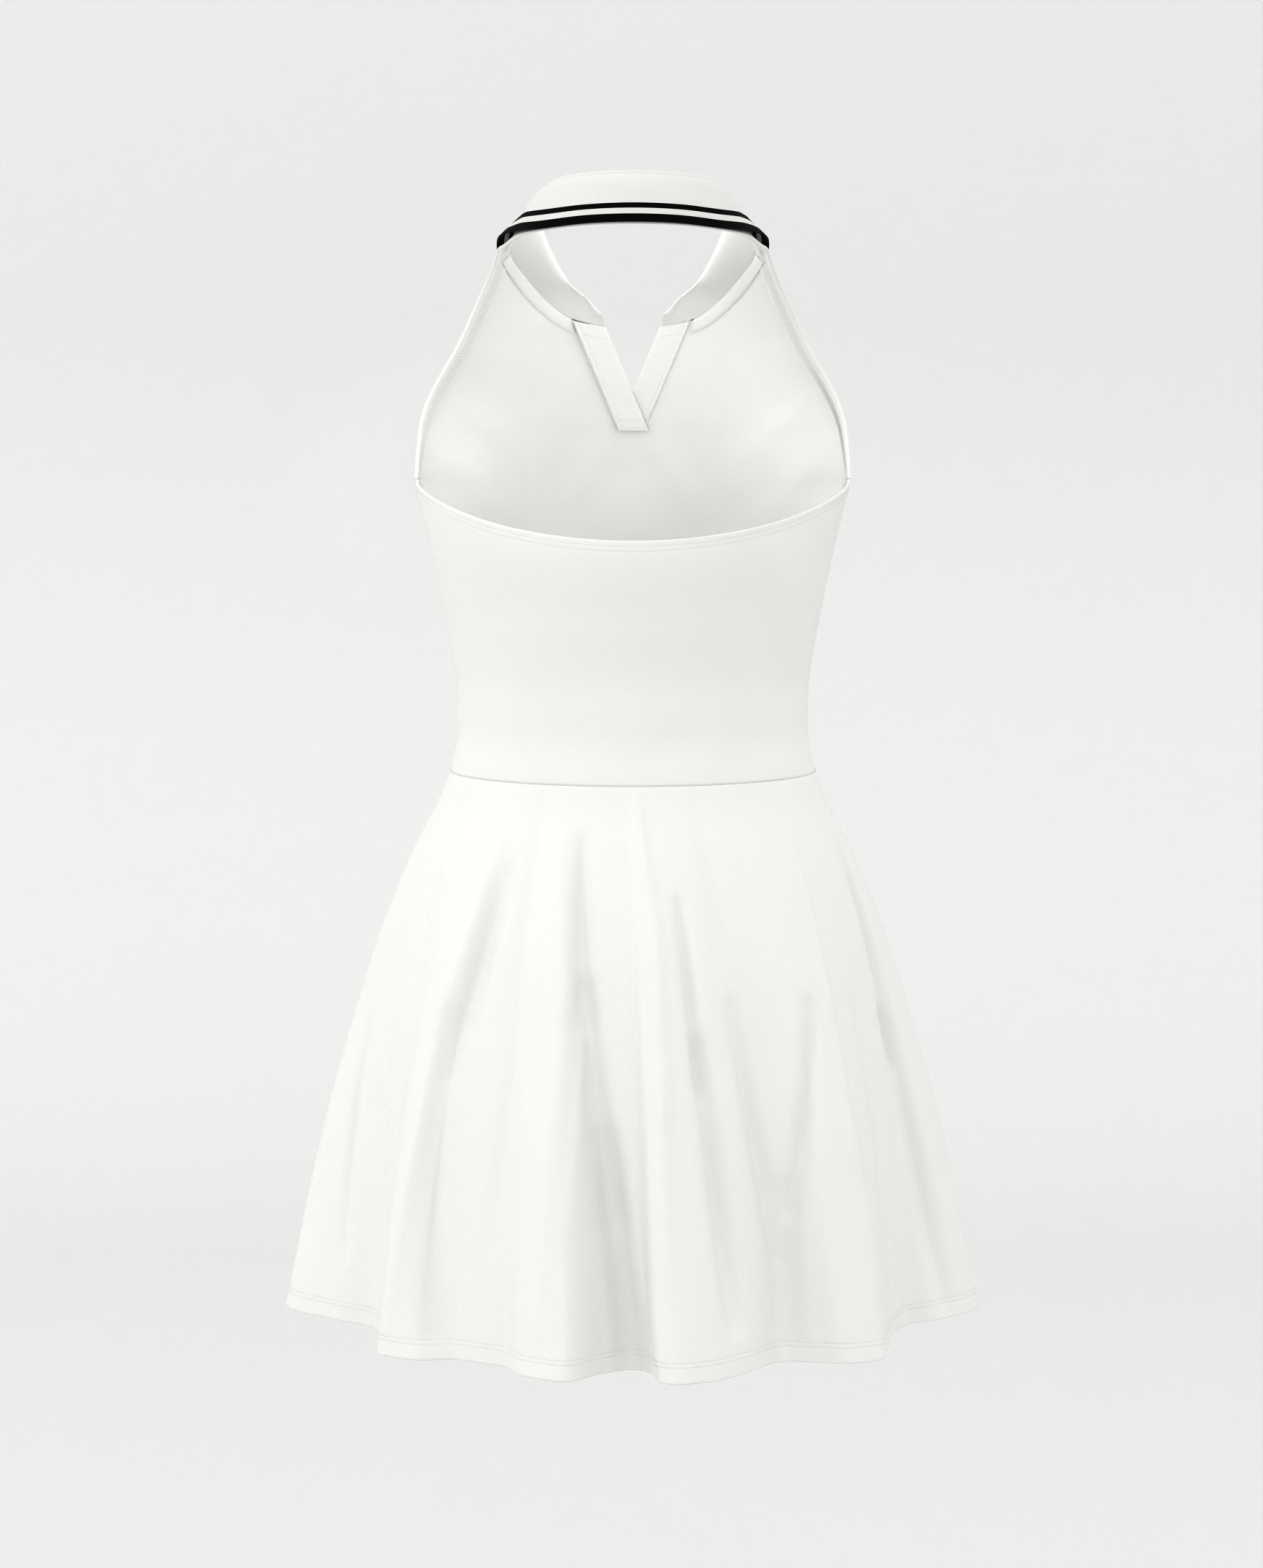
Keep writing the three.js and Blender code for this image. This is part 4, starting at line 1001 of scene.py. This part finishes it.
# Each sheet comes with its cut
back = back_bodice(jersey)
front = front_bodice(jersey)
skirt_behind = skirt_half("back_skirt", -90, 90, 380, jersey)
skirt_before = skirt_half("front_skirt", 90, 270, 300, jersey)
knit_collar = collar(rib)
arm_line = armhole_line()
arm_binding = armhole_binding(arm_line, binding)
tape_left, tape_right = neck_tape(-1, binding), neck_tape(1, binding)
BAND_LEFT = dict(side=-1, lap=BAND_LAP, foot=BAND_FOOT, depth=2.3)
BAND_RIGHT = dict(side=1, lap=-0.3, foot=-0.3, depth=0)
band_left, band_right = placket_band(**BAND_LEFT, material=band), placket_band(**BAND_RIGHT, material=band)

# Stitches
one = stitch_shape()
all_round = np.linspace(-90, 90, 400)


def stitch_panel(name, skin, lines, **size):
    """Rows of stitches on a panel. Each line: its two measures."""
    return sewing(name, [row_of_stitches(*on_top(skin, u, w), **size) for u, w in lines], one, thread)


back_edge = stitch_panel("back_edge_stitches", back_skin, [
    (all_round, back_top_z(all_round) - d) for d in BACK_ROWS_STITCHED
])
waist_back = stitch_panel("back_waist_stitches", back_skin, [
    (all_round, waist_z(all_round) + 0.75)
], pitch=2, length=0.8)
hem_sewing = {}
for word, first in (("back", -90), ("front", 90)):
    degrees = np.linspace(first, first + 180, 1200)
    hem_sewing[word] = stitch_panel(word + "_hem_stitches", skirt_skin, [
        (degrees, 1 - d / SKIRT_LENGTH) for d in HEM_ROWS_STITCHED
    ])


def binding_row(share, side):
    """A line on the binding's face, inside the front (-1) or outside it (1)."""
    inner, edge, out = arm_line
    return mix(inner, edge, share) + side * out * (JERSEY / 2 + EASE + TAPE), side * out


def band_row(band, first, last):
    """A line on a placket band's inner face, between two (down, inward) places."""
    down, inward = (np.linspace(*ends, 60) for ends in zip(first, last))
    place, out = band_line(down=down, inward=inward, **band)
    return place - out * ((JERSEY + EASE) / 2 + JERSEY / 2), -out


NEAR_ROW, FAR_ROW = 0.22, 0.72  # shares of the binding's width
binding_rows = [
    row_of_stitches(*binding_row(share, side)) for share in (NEAR_ROW, FAR_ROW) for side in (-1, 1)
]
near, near_outs = binding_row(NEAR_ROW, -1)
binding_rows.append(zigzag(near, binding_row(FAR_ROW, -1)[0], near_outs))
binding_sewing = sewing("binding_stitches", binding_rows, one, thread)


TAPE_ROW, TAPE_FREE = 0.86, 8  # a share of the tape's width, and steps from its end


def tape_stitches(name, side):
    """A row near the tape's free edge, from where the tape has come down off the binding."""
    _, upper, lower = tape_edges()
    point = mix(upper, lower, TAPE_ROW)
    place, out = front_skin(side * across_at(point[:, 0], point[:, 2]), point[:, 2])
    place = place - out * (JERSEY / 2 + EASE + TAPE + 0.1)
    return sewing(name, [row_of_stitches(place[TAPE_FREE:], -out[TAPE_FREE:])], one, thread)


tape_left_sewing = tape_stitches("neck_tape_stitches_left", -1)
tape_right_sewing = tape_stitches("neck_tape_stitches_right", 1)


def band_stitches(name, band, foot_rows):
    ends = [((0.11, 0.16), (0.11, 0.94))] + [((down, 0.1), (down, 0.95)) for down in foot_rows]
    rows = [row_of_stitches(*band_row(band, *pair), pitch=2, length=1.3) for pair in ends]
    return sewing(name, rows, one, thread)


band_left_sewing = band_stitches("placket_stitches_left", BAND_LEFT, (0.9, 0.975))
band_right_sewing = band_stitches("placket_stitches_right", BAND_RIGHT, (0.97,))

# What each sheet stands for, how it is held, what carries it and what is sewn on it
HELD = [
    (front, "bodice_front", "hung", knit_collar, []),
    (back, "bodice_back", "hung", front, [back_edge, waist_back]),
    (skirt_behind, "skirt_back", "hung", back, [hem_sewing["back"]]),
    (skirt_before, "skirt_front", "hung", front, [hem_sewing["front"]]),
    (knit_collar, "collar", "folded", front, []),
    (arm_binding, "armhole_binding", "folded", front, [binding_sewing]),
    (tape_left, "neck_tape_left", "laid", front, [tape_left_sewing]),
    (tape_right, "neck_tape_right", "laid", front, [tape_right_sewing]),
    (band_left, "placket_left", "folded", front, [band_left_sewing]),
    (band_right, "placket_right", "folded", front, [band_right_sewing]),
]
for (piece, cut), node, held, (carrier, _), sewn in HELD:
    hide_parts(node)

# Studio
NAPE_HEIGHT = 1.4  # of the wearer, above the floor
NEAR_END_Y, STUDIO_WIDTH, WALL_HEIGHT = -6, 16, 7
CAMERA_PLACE, CAMERA_AIM_DROP = (-0.001, -2.3068, -0.1965), 0.1945  # at the photograph's distance


def studio(floor_z, wall_y, bend):
    """A pale floor that curves up into a wall."""
    run = [(NEAR_END_Y, floor_z), (wall_y - bend, floor_z)]
    for angle in np.linspace(0, math.pi / 2, 13)[1:]:
        run.append((wall_y - bend + bend * math.sin(angle), floor_z + bend - bend * math.cos(angle)))
    run.append((wall_y, floor_z + WALL_HEIGHT))
    bpy.ops.mesh.primitive_grid_add(x_subdivisions=1, y_subdivisions=len(run) - 1, size=1)
    sweep = bpy.context.object
    sweep.name = "studio_sweep"
    for vertex in sweep.data.vertices:
        y, z = run[round((vertex.co.y + 0.5) * (len(run) - 1))]
        vertex.co = (vertex.co.x * STUDIO_WIDTH, y, z)
    neat(sweep, 60)
    material = bpy.data.materials.new("studio_paint")
    material.use_nodes = True
    shader = material.node_tree.nodes["Principled BSDF"]
    shader.inputs["Base Color"].default_value = (0.778, 0.778, 0.778, 1)
    shader.inputs["Roughness"].default_value = 0.95
    sweep.data.materials.append(material)


def light(kind, name, place, power, **settings):
    bpy.ops.object.light_add(type=kind, location=place)
    lamp = bpy.context.object
    lamp.name = name
    lamp.data.energy = power
    for key, value in settings.items():
        setattr(lamp.data, key, value)
    return lamp


def turn(lamp, aim):
    lamp.rotation_euler = (Vector(aim) - lamp.location).to_track_quat("-Z", "Y").to_euler()


def glow(name, place, power):
    """A faint light close to the cloth."""
    light("POINT", name, place, power, shadow_soft_size=0.025).visible_camera = False


studio(-NAPE_HEIGHT, 4.5, 1.6)
key = light("AREA", "key", (-8.5, -3.5, 1.9), 62, shape="DISK", size=2.2, color=(1.0, 0.985, 0.93))
turn(key, (0, 0, -0.4))
# a narrow light through the open back, wider across than up
beam = light(
    "SPOT", "light_into_the_front", (0, -1.9, -0.12), 17,
    spot_size=math.radians(5.6), spot_blend=0.4, shadow_soft_size=0.03,
)
beam.scale = (2.0, 1, 1)
turn(beam, (-0.04, 0.09, -0.122))
glow("light_under_the_collar", (0, -0.005, -0.006), 0.085)
glow("light_inside_the_left", (-0.055, -0.012, -0.195), 0.046)
glow("light_inside_the_right", (0.055, -0.012, -0.195), 0.034)
world = bpy.data.worlds.new("studio")
world.use_nodes = True
sky = world.node_tree.nodes["Background"]
sky.inputs["Color"].default_value = (1.0, 1.0, 0.998, 1)
sky.inputs["Strength"].default_value = 1.25
scene = bpy.context.scene
scene.world = world
scene.view_settings.view_transform = "Standard"
scene.view_settings.gamma = 0.5

bpy.ops.object.camera_add(location=CAMERA_PLACE)
camera = bpy.context.object
camera.name = "camera"
camera.rotation_euler = (math.pi / 2 - math.atan2(CAMERA_AIM_DROP, -CAMERA_PLACE[1]), 0, 0)
camera.data.lens = 75
camera.data.sensor_width = 36
scene.camera = camera
